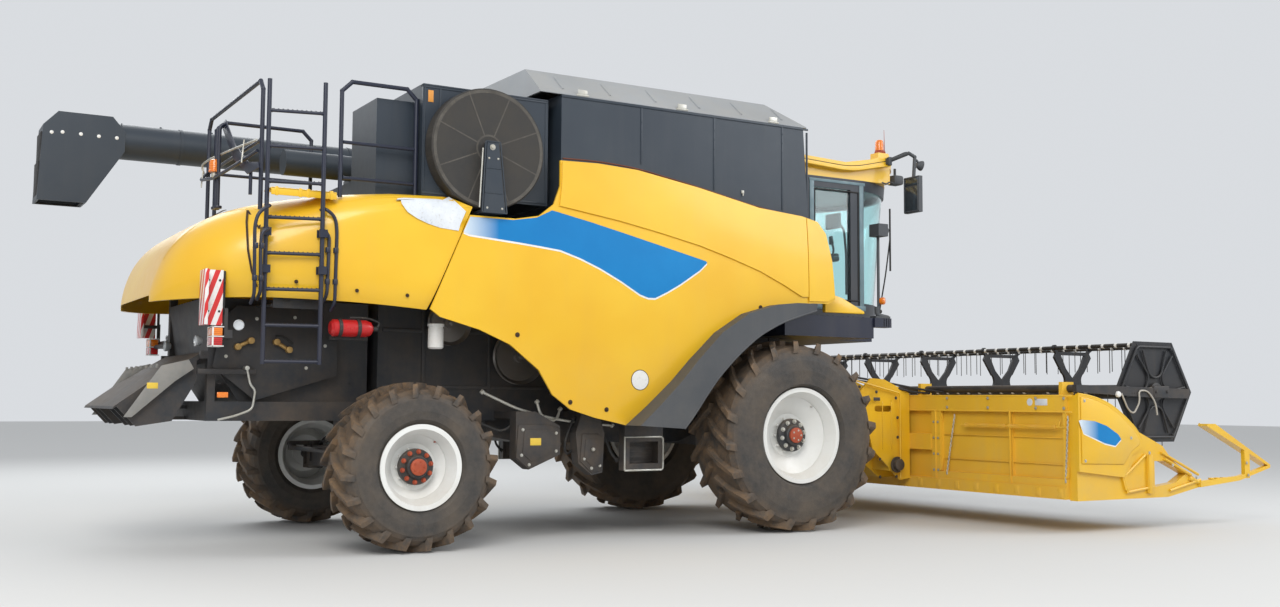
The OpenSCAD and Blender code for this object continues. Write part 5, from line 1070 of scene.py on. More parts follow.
seatLean = Matrix.Rotation(-0.09, 4, "Y")
insidePieces = [
    # monitor on its arm, armrest with lever and keys, pedals, column shroud
    {"name": "cabControls", "finish": "dark_plastic", "rows": [
        (addTube, [(1.50, -0.5, 2.30), (1.50, -0.5, 2.72), (1.47, -0.5, 3.00), (1.38, -0.5, 3.05)], 0.013, 0.05, 10),
        (addBox, (1.30, -0.62, 2.98), (1.34, -0.40, 3.14), 0.012),
        (addBox, (1.02, -0.40, 2.66), (1.50, -0.29, 2.72), 0.02),
        (addRod, (1.06, -0.345, 2.40), (1.06, -0.345, 2.68), 0.03, 14),
        (addTube, [(1.44, -0.345, 2.70), (1.46, -0.345, 2.80), (1.43, -0.345, 2.86)], 0.012, 0.03, 10),
        (addRod, (1.43, -0.345, 2.84), (1.42, -0.345, 2.93), 0.026, 16, 0.020, 0.006),
        *[(addBox, (1.74, y - 0.05, 2.10), (1.80, y + 0.05, 2.20), 0.01, Matrix.Rotation(0.4, 4, "Y"))
          for y in (-0.12, 0.12)],
        (addBox, (1.54, -0.07, 2.44), (1.68, 0.07, 2.60), 0.03)]},
    {"name": "seatCushions", "finish": "seatCloth", "slot": "dark_plastic", "rows": [
        (addBox, (0.91, -0.245, 2.515), (1.38, 0.245, 2.60), 0.035),
        *[(addBox, (0.95, y0, 2.56), (1.36, y0 + 0.095, 2.63), 0.028) for y0 in (-0.245, 0.15)],
        (addBox, (0.925, -0.235, 2.60), (1.015, 0.235, 3.08), 0.036, seatLean),
        (addBox, (0.86, -0.14, 3.06), (0.94, 0.14, 3.25), 0.034, seatLean)]},
    {"name": "monitorFace", "finish": "screenGlow", "slot": "dark_plastic", "rows": [
        (addBox, (1.297, 0.165, 2.995), (1.301, 0.230, 3.125), 0.001)]},
]

platformPieces = [
    {"name": "noseWedges", "finish": "painted_yellow", "both": True, "rows": [
        (addPlate, [(0.45, 2.215), (0.66, 2.165), (0.93, 2.045), (0.93, 2.02), (0.45, 2.02)],
         "y", -1.46, 0.05, 0.008)]},
    # non-slip ribs across the right platform and along the left one
    {"name": "platformRibs", "finish": "rail_navy", "rows": [
        *[(addBox, (0.02 + 0.062 * k, -1.42, 1.990), (0.036 + 0.062 * k, -0.92, 1.996), 0.002) for k in range(16)],
        *[(addBox, (0.30, 0.95 + 0.03 * k, 1.990), (1.46, 0.96 + 0.03 * k, 1.996), 0.002) for k in range(20)]]},
    {"name": "markerFoot", "finish": "dark_plastic", "rows": [
        (addTube, [(1.24, -1.44, 2.0), (1.10, -1.44, 2.02), (1.10, -1.44, 2.10)], 0.022, 0.03, 12),
        *[(addBox, (1.16 + 0.03 * k, -1.47, 1.905), (1.172 + 0.03 * k, -1.372, 1.99), 0.002) for k in range(3)]]},
]

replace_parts(make(beaconLenses), "lamps")
for spec in [beaconFeet] + roofPieces + lampPieces + mirrorPieces + frontPieces + insidePieces + platformPieces:
    make(spec)
print("cab ready")

# grain tank's panels, its covers and the unloading auger

augerY, augerZ, spoutRight = 1.385, 3.500, 1.2235
rivets = [(-6.01, 3.496), (-5.922, 3.506), (-5.772, 3.504), (-5.623, 3.5), (-5.472, 3.501)]
spoutSlats = [(-6.110 + 0.034 * (z - 2.90) / 0.6, z) for z in [2.925 + 0.044 * k for k in range(13)]]
spoutPieces = [
    {"name": "spoutRivets", "body": "unloading_auger", "finish": "plateWhite", "slot": "tank_grey", "rows": [
        (addLathe, [(0.001, 0.012), (0.014, 0.009), (0.022, 0.0), (0.022, -0.010), (0.001, -0.010)], (x, y, z),
         (0, out, 0), 20) for x, z in rivets for y, out in ((spoutRight, -1), (2 * augerY - spoutRight, 1))]},
    {"name": "spoutEdge", "body": "unloading_auger", "finish": "rubberEdge", "slot": "tank_grey", "rows": [
        (addBox, (-6.095, 1.245, 3.24), (-6.063, 1.525, 3.50), 0.003),
        (addBox, (-6.108, 1.245, 2.90), (-6.083, 1.525, 3.24), 0.003),
        *[(addBox, (x + 0.002, y, z), (x + 0.022, y + 0.015, z + 0.022), 0.003)
          for x, z in spoutSlats for y in (1.235, 1.520)],
        # folded rubber edge round the mouth
        (addTube, [(-6.095, 1.235, 2.902), (-5.74, 1.235, 2.900), (-5.74, 1.535, 2.900), (-6.095, 1.535, 2.902)],
         0.008, 0.03, 8, True)]},
    {"name": "augerBands", "body": "unloading_auger", "finish": "tank_grey", "rows": [
        (bolts, [(x, augerY, augerZ + 0.159) for x in (-5.915, -5.07, -4.61, -4.16, -3.2, -1.9)],
         upwards, 0.010, 0.014),
        *[(addBand, (x, augerY, augerZ), forwards, 0.157, 0.166, 0.014) for x in (-4.9, -3.3, -1.7, -0.2)],
        # hinge of the folded tail piece
        (addBox, (-5.44, 1.2185, 3.36), (-5.43, 1.226, 3.64), 0.002)]},
]

tankSide, tankInner, tankTop = -1.5215, -1.515, 3.725
trimLine = [(-2.385, 3.195), (-2.06, 3.203), (-1.67, 3.182), (-1.30, 3.118), (-1.05, 3.078), (-0.72, 3.012),
            (-0.40, 2.950), (-0.10, 2.912), (0.185, 2.885)]
# places and feet of the flanged seams, how far apart their bolts are
tankRibs, boltStep = ((-1.62, 3.22), (-0.86, 3.06), (-0.10, 2.94)), 0.085
tankPieces = [
    {"name": "tankTrim", "finish": "trimBrown", "slot": "tank_grey", "both": True, "rows": [
        (addTube, onSide(tankSide, trimLine), 0.006, 0.3, 8)]},
    {"name": "tankSeams", "finish": "tank_grey", "both": True, "rows": [
        *[(addBox, (x - 0.010, tankSide - 0.003, low), (x + 0.010, tankInner, tankTop), 0.002) for x, low in tankRibs],
        (bolts, [(x, tankSide - 0.003, low + 0.03 + boltStep * k) for x, low in tankRibs
                 for k in range(int((tankTop - low) / boltStep))], sideways, 0.005, 0.004),
        # rim under the covers
        (addBox, (-2.40, tankSide - 0.006, tankTop - 0.010), (0.20, tankInner, tankTop + 0.008), 0.003),
        (addRod, (0.202, -1.50, 2.90), (0.202, -1.50, 3.70), 0.010, 12)]},
    {"name": "tankLatch", "finish": "zincPale", "slot": "tank_grey", "rows": [
        (addBox, (-0.565, -1.5300, 3.055), (-0.535, -1.5205, 3.085), 0.004),
        (addRod, (-0.55, -1.532, 3.055), (-0.55, -1.532, 3.035), 0.006, 10)]},
]

coverTrim = {"outer": {"right": -1.520, "left": 1.190}, "first": -2.358, "step": 0.46, "ribs": 6, "foot": 3.7525,
             "hinges": (-2.2, -1.2, -0.2)}


def addCoverTrim(spec):
    for side, outer in spec["outer"].items():
        sign, node = math.copysign(1, outer), "tank_cover_" + side
        # ribs pressed into the cover, found on its own surface
        shape = bmesh.new()
        for x in [spec["first"] + spec["step"] * k for k in range(spec["ribs"])]:
            route = []
            for n in range(9):
                y = sign * 0.06 + (outer - sign * 0.12) * n / 8
                hit, _, _, _ = surface(node).ray_cast(at(x, y, sky), down)
                if hit is not None:
                    route.append((x, y, hit.z + 0.001))
            if len(route) > 2:
                addTube(shape, route, 0.009, 0.05, 8)
        fitted(shape, "coverRibs" + side.capitalize(), node, "cover_grey")
        shape, y, z = bmesh.new(), outer - sign * 0.004, spec["foot"]
        for x in spec["hinges"]:
            addRod(shape, (x - 0.06, y, z), (x + 0.06, y, z), 0.010, 14, bevel=0.002)
            addBox(shape, (x - 0.045, y - 0.006, z), (x + 0.045, y + 0.004, z + 0.048), 0.003)
        fitted(shape, "coverHinges" + side.capitalize(), node, "zincPale", "cover_grey")


for spec in spoutPieces + tankPieces:
    make(spec)
addCoverTrim(coverTrim)
print("tank ready")

# side shields' latches, fenders, boxes and pipes below the shields, wheels


def reach(node, x, z):
    # the point where a sideways line meets a node's right side
    hit, _, _, _ = surface(node).ray_cast(at(x, -4.0, z), Vector((0, 1, 0)))
    if hit is None:
        hit, _, _, _ = surface(node).find_nearest(at(x, -1.6, z))
    return hit - at(0, 0, 0)


shieldLatches = {"spots": [(-2.82, 1.70), (-2.30, 1.16), (-1.95, 1.10), (-0.42, 2.02)], "radius": 0.020}


def addShieldLatches(spec):
    shape = bmesh.new()
    for x, z in spec["spots"]:
        spot = reach("side_shield_right", x, z)
        addRod(shape, spot + Vector((0, 0.004, 0)), spot - Vector((0, 0.006, 0)), spec["radius"], 24, bevel=0.003)
        addBox(shape, spot + Vector((-0.012, -0.010, -0.003)), spot + Vector((0.012, -0.005, 0.003)), 0.001)
    twins(shape, "shieldLatches", "shield_SIDE", "seamDark", "painted_yellow")


fenderLip = {"edge": -1.742, "radius": 0.010, "turn": 4, "y": -1.745}


def addFenderLip(spec):
    # a rolled lip along the inmost points of the fender's own edge, one in each few degrees
    centre, rings = at(0, 0, 0.87), {}
    for co in [v.co for v in nodes["fender_right"].data.vertices if v.co.y < spec["edge"]]:
        across, high = co.x - centre.x, co.z - centre.z
        turn, far = round(math.degrees(math.atan2(high, across)) / spec["turn"]), math.hypot(across, high)
        if turn not in rings or far < rings[turn][0]:
            rings[turn] = (far, co)
    shape = bmesh.new()
    addTube(shape, [(rings[k][1].x - axleX, spec["y"], rings[k][1].z) for k in sorted(rings)], spec["radius"], 0.1, 8)
    twins(shape, "fenderLip", "shield_SIDE", "dark_plastic")


def shrunk(outline, share):
    # the outline drawn in towards the mean of its corners
    middle = [sum(spot[k] for spot in outline) / len(outline) for k in (0, 1)]
    return [((x - middle[0]) * share + middle[0], (z - middle[1]) * share + middle[1]) for x, z in outline]


boxFace, grilleRear, grilleFoot, grilleFront, grilleTop = -1.2955, -1.640, 0.572, -1.250, 0.860
hexPlate = [(-2.68, 0.70), (-2.56, 0.60), (-2.27, 0.72), (-2.27, 0.94), (-2.40, 0.97), (-2.66, 0.97)]
roundPlate = [(-2.08, 0.66), (-1.97, 0.56), (-1.86, 0.58), (-1.85, 0.85), (-1.90, 0.89), (-2.06, 0.89)]
boxPieces = [
    *[{"name": name, "finish": "chassis_black", "both": True, "rows": [
        (addPlate, outline, "y", boxFace, -0.014, 0.005),
        (addPlate, shrunk(outline, 0.72), "y", boxFace - 0.013, -0.007, 0.003)]}
      for name, outline in (("hexPlates", hexPlate), ("roundPlates", roundPlate))],
    {"name": "boxBolts", "finish": "zincPale", "slot": "chassis_black", "both": True, "rows": [
        (bolts, onSide(boxFace - 0.014, (
            (-2.63, 0.72), (-2.56, 0.64), (-2.31, 0.75), (-2.31, 0.90), (-2.62, 0.93), (-2.04, 0.68), (-1.97, 0.60),
            (-1.89, 0.62))), sideways, 0.009, 0.009),
        (addLathe, [(0.001, 0.030), (0.014, 0.026), (0.018, 0.012), (0.010, 0.004), (0.010, 0.0)],
         (-1.965, boxFace - 0.018, 0.76), sideways, 24),
        (addTube, onSide(boxFace - 0.006, (
            (grilleRear, grilleFoot), (grilleFront, grilleFoot), (grilleFront, grilleTop), (grilleRear, grilleTop))),
         0.009, 0.03, 8, True)]},
    {"name": "boxLabels", "finish": "labelYellow", "slot": "chassis_black", "both": True, "rows": [
        (addBox, (-2.555, boxFace - 0.0225, 0.80), (-2.455, boxFace - 0.0195, 0.86), 0.001)]},
    {"name": "boxGrilles", "finish": "chassis_black", "both": True, "rows": [
        *[(addBox, (grilleRear + 0.06, -1.205, grilleFoot + 0.055 + 0.045 * k),
           (grilleFront - 0.06, -1.20, grilleFoot + 0.075 + 0.045 * k), 0.002) for k in range(5)],
        (addBox, (grilleRear + 0.03, -1.20, grilleFoot + 0.03), (grilleFront - 0.03, -1.19, grilleTop - 0.03), 0.003)]},
]

paleRoutes = [
    [(-2.90, -1.10, 1.24), (-2.62, -1.20, 1.10), (-2.30, -1.22, 1.02), (-2.00, -1.20, 0.98), (-1.70, -1.18, 0.96)],
    [(-2.45, -1.22, 1.16), (-2.42, -1.24, 1.03), (-2.28, -1.24, 0.99), (-2.22, -1.20, 1.10)],
]
darkRoutes = [
    [(-3.30, -0.95, 1.20), (-3.00, -1.05, 1.02), (-2.72, -1.15, 0.90), (-2.60, -1.15, 1.02)],
    [(-2.10, -1.22, 1.02), (-2.20, -1.24, 0.82), (-2.16, -1.20, 0.70), (-2.06, -1.18, 0.78)],
    [(-1.80, -1.15, 0.98), (-1.72, -1.20, 0.72), (-1.66, -1.20, 0.66)],
    [(-0.50, -0.82, 1.22), (-0.70, -0.95, 1.00), (-1.10, -1.00, 0.93), (-1.30, -1.05, 0.98)],
    [(-3.50, -0.85, 0.99), (-3.52, -0.90, 0.86), (-3.60, -0.95, 0.80), (-3.62, -0.98, 0.76)],
]
# each pipe has a nut at both ends
pipePieces = [{"name": name, "finish": finish, "slot": "chassis_black", "both": True, "rows": [
    *[(addTube, route, 0.012, 0.08, 10) for route in routes],
    *[(addRod, (x - 0.012, y, z - 0.012), (x + 0.012, y, z + 0.012), 0.018, 6, None, 0.002)
      for route in routes for x, y, z in (route[0], route[-1])],
]} for name, finish, routes in (("palePipes", "zincPale", paleRoutes), ("darkPipes", "hoseBlackAndSlotShade", darkRoutes))]

housingSide = -0.7805


def addPulley(shape, x, z, radius):
    # a grooved disc on a stub of shaft
    groove = [(radius - 0.03, 0.055), (radius, 0.085), (radius - 0.022, 0.062), (radius, 0.04), (radius - 0.03, 0.035)]
    addLathe(shape, [(0.022, 0.10), (0.05, 0.10), (0.05, 0.06), *groove, (0.022, 0.03), (0.022, 0.10)],
             (x, housingSide - 0.02, z), sideways, 48)
    addRod(shape, (x, housingSide + 0.01, z), (x, housingSide - 0.14, z), 0.022, 18, bevel=0.003)


housingPieces = [
    {"name": "bodyRibs", "finish": "chassis_black", "both": True, "rows": [
        *[(addBox, (x - 0.018, housingSide - 0.012, 1.22), (x + 0.018, housingSide + 0.01, 2.22), 0.005)
          for x in (-3.3, -2.7, -2.1, -1.5, -0.9, -0.3, 0.3)],
        *[(addBox, (-3.66, housingSide - 0.010, z - 0.015), (0.58, housingSide + 0.01, z + 0.015), 0.004)
          for z in (1.28, 1.75, 2.18)]]},
    {"name": "drivePulleys", "finish": "worked_steel", "both": True, "rows": [
        (addPulley, x, z, radius)
        for x, z, radius in ((-2.45, 1.55, 0.24), (-1.60, 1.42, 0.17), (-0.75, 1.50, 0.14), (-3.10, 1.82, 0.19))]},
]

wheels = [
    {"name": "front", "studs": "zincPale", "x": 0.0, "z": 0.870, "hub": (0.150, 0.085), "bolts": (0.125, 10),
     "stud": 0.014, "rim": 0.30, "body": "front_wheel_SIDE", "nodes": "front_rim_right"},
    {"name": "rear", "studs": "hubOrange", "x": -3.634, "z": 0.655, "hub": (0.140, 0.080), "bolts": (0.118, 10),
     "stud": 0.013, "rim": 0.22, "body": "rear_wheel_SIDE", "nodes": "rear_rim_right"},
]


def addWheelTrim(spec):
    x, z, rim = spec["x"], spec["z"], spec["rim"]
    face = min(reach(spec["nodes"], x + rim * 0.7, z + rim * 0.3).y, reach(spec["nodes"], x + 0.004, z + 0.003).y)
    wide, deep = spec["hub"]
    hub, cap, studs = bmesh.new(), bmesh.new(), bmesh.new()
    addLathe(hub, [(wide, -0.03), (wide, 0.012), (wide * 0.94, 0.020), (wide * 0.66, 0.022), (wide * 0.62, deep * 0.62),
                   (wide * 0.56, deep * 0.70), (0.001, deep * 0.70)], (x, face, z), sideways, 56)
    addLathe(cap, [(wide * 0.46, deep * 0.66), (wide * 0.46, deep * 0.92), (wide * 0.36, deep), (0.001, deep)],
             (x, face, z), sideways, 40)
    around, count = spec["bolts"]
    bolts(studs, ringOf(around, count, (x, face - 0.020, z), 0.2), sideways, spec["stud"], 0.022)
    bolts(studs, ringOf(wide * 0.30, 5, (x, face - deep, z)), sideways, 0.006, 0.005)
    # valve in the dish
    valve = reach(spec["nodes"], x + rim * 1.1 * math.cos(0.9), z + rim * 1.1 * math.sin(0.9))
    addRod(studs, valve + Vector((0, 0.01, 0)), valve - Vector((0, 0.03, 0)), 0.006, 10, 0.004)
    parts = ((hub, "Hub", "chassis_black"), (cap, "HubCap", "hubOrange"), (studs, "Studs", spec["studs"]))
    for made, part, finish in parts:
        twins(made, spec["name"] + part, spec["body"], finish, "rim_white")


addShieldLatches(shieldLatches)
addFenderLip(fenderLip)
for spec in boxPieces + pipePieces + housingPieces:
    make(spec)
for spec in wheels:
    addWheelTrim(spec)
print("lower parts ready")

# header: back panel, end shields, reel's end plates and clips, knife, feeder house

backX = 2.000
spring = {"start": -1.688, "length": -1.142, "z": 0.958, "turns": 58, "gap": (0.46, 0.50), "radius": 0.018}


def springRoute(spec):
    # a wound wire with a gap in it, eight points to a turn
    route, count, (low, high) = [], spec["turns"] * 8, spec["gap"]
    for share in [k / count for k in range(count)]:
        if not low < share < high:
            a = math.tau * spec["turns"] * share
            route.append((backX + 0.010 + spec["radius"] * math.cos(a), spec["start"] + spec["length"] * share,
                          spec["z"] + spec["radius"] * math.sin(a)))
    return route


def addLink(shape, x, y, z, quarter):
    # one link of a chain that hangs down, every other one turned
    turn = Matrix.Rotation(math.pi / 2 * quarter, 4, "Z") @ Matrix.Diagonal((1.4, 0.6, 1, 1))
    bmesh.ops.create_cone(shape, cap_ends=True, segments=8, radius1=0.007, radius2=0.007, depth=0.026,
                          matrix=Matrix.Translation((x, y, z)) @ turn)


backPieces = [
    # the tensioning spring round its rod, with a hook at the end
    {"name": "balanceSprings", "body": "header", "finish": "header_paint", "both": True, "rows": [
        (addTube, springRoute(spring), 0.0055, 0.0, 5),
        (addRod, (backX + 0.010, -1.628, 0.958), (backX + 0.010, -2.93, 0.958), 0.008, 10),
        (addTube, [(backX + 0.010, -2.83, 0.958), (backX + 0.010, -2.86, 0.968), (backX + 0.010, -2.87, 1.008),
                   (backX + 0.03, -2.85, 1.018)], 0.007, 0.02, 8)]},
    # folded edges of the sheet, flanges of both beams and gussets
    {"name": "backFlanges", "body": "header", "finish": "header_paint", "both": True, "rows": [
        *[(addBox, (backX + 0.006, -3.01, z - 0.006), (backX + 0.016, 3.01, z + 0.006), 0.002) for z in (1.098, 1.246)],
        *[(addBox, (backX + 0.001, y - 0.006, 0.42), (backX + 0.022, y + 0.006, 1.10), 0.002) for y in (-1.27, -2.27)],
        *[(addBox, (backX + 0.044, -2.90, z - 0.004), (backX + 0.056, -1.36, z + 0.004), 0.002) for z in (0.62, 0.86)],
        *[(addPlate, [(backX + 0.002, root), (backX + 0.05, root), (backX + 0.05, tip)], "y", y, 0.012, 0.002)
          for y in (-1.34, -2.94) for root, tip in ((1.10, 0.98), (0.50, 0.62))],
        *[(addBox, (backX - 0.004, y - 0.03, 0.325), (backX + 0.004, y + 0.03, 0.405), 0.004)
          for y in [-1.05 - 0.26 * k for k in range(8)]]]},
    {"name": "backChains", "body": "header", "finish": "zincPale", "slot": "header_paint", "both": True, "rows": [
        *[(addLink, backX + 0.012, y - lean * (z - 0.8) / 0.3, z, k % 2) for y, lean in ((-1.49, 0.06), (-2.947, 0.02))
          for k, z in enumerate([1.05 - 0.60 * n / 26 for n in range(26)])],
        (bolts, [(backX - 0.0005, y, z) for y in (-1.45, -2.0, -2.6, -2.93) for z in (1.13, 1.22)],
         rearwards, 0.010, 0.009),
        (bolts, [(backX + 0.014, y, z) for y in (-1.24, -1.30) for z in (0.50, 0.66, 0.82, 0.98)],
         rearwards, 0.009, 0.008)]},
    {"name": "backPlates", "body": "header", "finish": "plateSilver", "slot": "header_paint", "both": True, "rows": [
        (addLathe, [(0.001, 0.002), (0.034, 0.002), (0.034, -0.004)], (backX + 0.0095, -2.52, 1.185), rearwards, 32),
        (addBox, (backX + 0.0075, -2.73, 1.155), (backX + 0.0095, -2.585, 1.215), 0.0005)]},
]

endY = -3.0505
raised = [(2.075, 1.235), (2.25, 1.212), (2.43, 1.155), (2.60, 1.065), (2.79, 0.925), (2.865, 0.835), (2.86, 0.80),
          (2.74, 0.735), (2.64, 0.62), (2.08, 0.635)]
topEdge = [(2.055, 1.265), (2.25, 1.243), (2.45, 1.188), (2.64, 1.088), (2.83, 0.948), (2.90, 0.852)]
badge = [(2.040, 1.02), (2.075, 1.028), (2.25, 1.015), (2.41, 0.972), (2.56, 0.895), (2.60, 0.85), (2.52, 0.79),
         (2.38, 0.815), (2.10, 0.91)]
# ribs of the triangular frame, the divider's two edges with their distance from the end's face
frameRibs = [((2.70, 0.36), (3.07, 0.40)), ((2.97, 0.70), (2.66, 0.50)), ((3.02, 0.69), (3.02, 0.36)),
             ((3.20, 0.72), (3.73, 0.50)), ((3.24, 0.66), (3.62, 0.50)), ((3.31, 0.36), (3.76, 0.45)),
             ((2.66, 0.50), (2.72, 0.36))]
dividerEdges = [(0.008, ((3.85, 0.972), (4.15, 0.86), (4.50, 0.70), (4.815, 0.568))),
                (0.092, ((3.86, 0.985), (4.15, 0.885), (4.50, 0.73), (4.815, 0.575)))]
endPieces = [
    {"name": "endShieldForm", "body": "header", "finish": "painted_yellow", "both": True, "rows": [
        (addPlate, raised, "y", endY + 0.002, -0.012, 0.008),
        (addTube, [(x, endY + 0.008, z - 0.004) for x, z in topEdge], 0.010, 0.1, 10),
        *[(addRod, (a[0], endY + 0.022, a[1]), (b[0], endY + 0.022, b[1]), 0.013, 10) for a, b in frameRibs],
        (addBox, (3.00, endY + 0.004, 0.34), (3.06, endY + 0.03, 0.70), 0.006),
        (addRod, (3.60, endY + 0.03, 0.47), (3.83, endY + 0.03, 0.40), 0.022, 16, None, 0.004),
        *[(addTube, [(x, endY + deep, z) for x, z in line], 0.008, 0.1, 8) for deep, line in dividerEdges],
        *[(addBox, (3.90 + 0.09 * k, endY + 0.006, 0.452), (3.95 + 0.09 * k, endY + 0.040, 0.466), 0.003)
          for k in range(5)]]},
    {"name": "endBolts", "body": "header", "finish": "zincPale", "slot": "header_paint", "both": True, "rows": [
        (bolts, onSide(endY - 0.009, ((2.12, 1.20), (2.12, 0.66), (2.74, 0.86), (2.99, 0.72), (3.32, 0.60),
                                      (3.66, 0.475), (4.44, 0.60), (4.46, 0.48))),
         sideways, 0.010, 0.008)]},
    {"name": "badgeEdge", "body": "header", "finish": "plateWhite", "slot": "painted_yellow", "both": True, "rows": [
        (addPlate, badge[:5] + [(x, z - 0.012) for x, z in badge[5:]], "y", endY - 0.0098, -0.0012)]},
    {"name": "badgePatch", "body": "header", "finish": "badgeBlue", "slot": "painted_yellow", "both": True, "rows": [
        (addPlate, badge, "y", endY - 0.0110, -0.0012)]},
]

reelX, reelZ = 3.265, 1.29
# the shares are how far out the rim, both ends of the ribs and the bolts are
reelEnd = {"y": 2.9285, "corner": 0.525, "shares": (0.94, 0.30, 0.86, 0.90)}


def addReelEnds(spec):
    # raised ribs, rim and bearing on the hexagonal end plates
    turns = [math.radians(60 * k) for k in range(6)]
    corners = [(reelX + spec["corner"] * math.cos(a), reelZ + spec["corner"] * math.sin(a)) for a in turns]
    for side, sign in (("Right", -1), ("Left", 1)):
        shape, y, out = bmesh.new(), sign * spec["y"], (0, sign, 0)
        rim, near, far, heads = [[((x - reelX) * share + reelX, y, (z - reelZ) * share + reelZ) for x, z in corners]
                                 for share in spec["shares"]]
        addTube(shape, rim, 0.011, 0.04, 8, closed=True)
        for k in range(6):
            n = (k + 1) % 6
            inner, outer = [[far[i][m] * 0.88 + far[j][m] * 0.12 for m in range(3)] for i, j in ((k, n), (n, k))]
            addTube(shape, [inner, near[k], near[n], outer], 0.010, 0.08, 8)
        addLathe(shape, [(0.034, 0), (0.085, 0), (0.085, 0.014), (0.060, 0.022), (0.034, 0.022), (0.034, 0)],
                 (reelX, y, reelZ), out, 40)
        bolts(shape, heads, out, 0.010, 0.010)
        fitted(shape, "reelEnd" + side, "reel", "reel_black")


clips = {"radius": 0.51, "count": 38, "half": 2.85}


def addClips(spec):
    # white clips that hold the tines on each bar
    for k in range(1, 7):
        shape, a = bmesh.new(), math.radians(60 * k)
        x, z = reelX + spec["radius"] * math.cos(a), reelZ + spec["radius"] * math.sin(a)
        for y in spread(spec["half"], spec["count"]):
            addRod(shape, (x, y - 0.014, z), (x, y + 0.014, z), 0.0235, 8)
        fitted(shape, "tineClips%d" % k, "tine_bar_%d" % k, "plateWhite", "tine_steel")


armHoses = [[(2.70, -2.995, 1.27), (2.78, -3.0, 1.12), (2.86, -3.0, 1.08), (2.95, -3.0, 1.20), (2.93, -3.0, 1.30),
             (3.06, -3.0, 1.30), (3.17, -3.0, 1.19), (3.19, -3.0, 1.07)],
            [(2.30, -2.96, 1.285), (2.60, -2.96, 1.30), (2.90, -2.97, 1.315), (3.20, -2.97, 1.325)]]
armPieces = [
    {"name": "armHoses", "body": "reel_arms", "finish": "hosePale", "slot": "chassis_black", "both": True, "rows": [
        (addTube, route, 0.008, 0.06, 8) for route in armHoses]},
    {"name": "armPins", "body": "reel_arms", "finish": "plateWhite", "slot": "chassis_black", "both": True, "rows": [
        (addLathe, [(0.001, 0.026), (0.020, 0.024), (0.028, 0.014), (0.028, -0.004)], (2.651, -2.992, 1.262),
         sideways, 32)]},
    # the bearing block that slides along the arm, its bolts and the arm's holes
    {"name": "armBlocks", "body": "reel_arms", "finish": "chassis_black", "both": True, "rows": [
        (addBox, (3.16, -2.996, 1.235), (3.38, -2.944, 1.345), 0.008),
        (bolts, [(3.27 + dx, -2.996, 1.29) for dx in (-0.08, 0.08)], sideways, 0.012, 0.010),
        *[(addRod, (x, -2.9905, 1.275), (x, -2.9925, 1.275), 0.008, 12) for x in [2.86 + 0.03 * k for k in range(9)]]]},
]

knifeX, knifeZ, knifeHalf, knifePitch = 3.352, 0.315, 2.88, 0.0762
guardSpots = [-knifeHalf + knifePitch * k for k in range(int(2 * knifeHalf / knifePitch) + 1)]
knifePieces = [
    {"name": "knifeGuards", "body": "header", "finish": "chassis_black", "rows": [
        (addRod, (knifeX - 0.06, y, knifeZ - 0.004), (knifeX + 0.085, y, knifeZ + 0.004), 0.011, 6, 0.003)
        for y in guardSpots]},
    # sections between the guards
    {"name": "knifeSections", "body": "header", "finish": "worked_steel", "rows": [
        (addPlate, [(knifeX - 0.05, y + 0.006), (knifeX - 0.05, y + knifePitch - 0.006),
                    (knifeX + 0.026, y + knifePitch / 2 + 0.008), (knifeX + 0.026, y + knifePitch / 2 - 0.008)],
         "z", knifeZ + 0.008, 0.003) for y in guardSpots[:-1]]},
]

feederY = -0.9405
feederPieces = [
    # turned edges of the side plate and its ribs
    {"name": "feederEdges", "body": "header", "finish": "painted_yellow", "both": True, "rows": [
        (addTube, [(1.22, feederY + 0.006, 1.40), (1.84, feederY + 0.006, 1.27), (1.84, feederY + 0.006, 0.40)],
         0.009, 0.03, 8),
        *[(addBox, (x - 0.004, feederY - 0.004, 0.70), (x + 0.004, feederY + 0.004, 1.18), 0.002)
          for x in (1.60, 1.72)]]},
    {"name": "feederShaft", "body": "header", "finish": "chassis_black", "both": True, "rows": [
        (addLathe, [(0.001, 0.050), (0.045, 0.050), (0.058, 0.042), (0.058, 0.0), (0.082, 0.0), (0.082, -0.010)],
         (1.795, feederY, 0.54), sideways, 40),
        (addBox, (1.483, feederY - 0.0015, 1.19), (1.568, feederY + 0.001, 1.225), 0.0005),
        (bolts, onSide(feederY, ((1.30, 1.33), (1.52, 1.28), (1.78, 1.22), (1.80, 1.02), (1.80, 0.82),
                                 (1.56, 0.60), (1.56, 0.42), (1.78, 0.42))), sideways, 0.011, 0.009)]},
    {"name": "headerHoses", "body": "header", "finish": "hoseBlackAndSlotShade", "slot": "painted_yellow", "rows": [
        (addTube, [(1.36, -0.80, 1.40), (1.52, -0.82, 1.38), (1.77, -0.86, 1.34), (2.02, -0.95, 1.28),
                   (2.10, -1.10, 1.27)], 0.011, 0.15, 8),
        (addTube, [(1.36, -0.78, 1.43), (1.52, -0.80, 1.41), (1.80, -0.84, 1.37), (2.06, -1.00, 1.31),
                   (2.10, -1.30, 1.28)], 0.011, 0.15, 8)]},
]

for spec in backPieces + endPieces:
    make(spec)
addReelEnds(reelEnd)
addClips(clips)
for spec in armPieces + knifePieces + feederPieces:
    make(spec)
print("header ready")

# left side, tail from behind and below


def dropped(node, x, y):
    # heights of the upward faces that a falling line meets on a node
    found = []
    hit, normal, _, _ = surface(node).ray_cast(at(x, y, sky), down)
    while hit is not None:
        if normal.z > 0.5:
            found.append(hit.z)
        hit, normal, _, _ = surface(node).ray_cast(hit + down * 0.002, down)
    return found


cabSteps = {"rear": 0.985, "front": 1.395, "y": 1.50, "probe": 1.19, "knobs": 11}


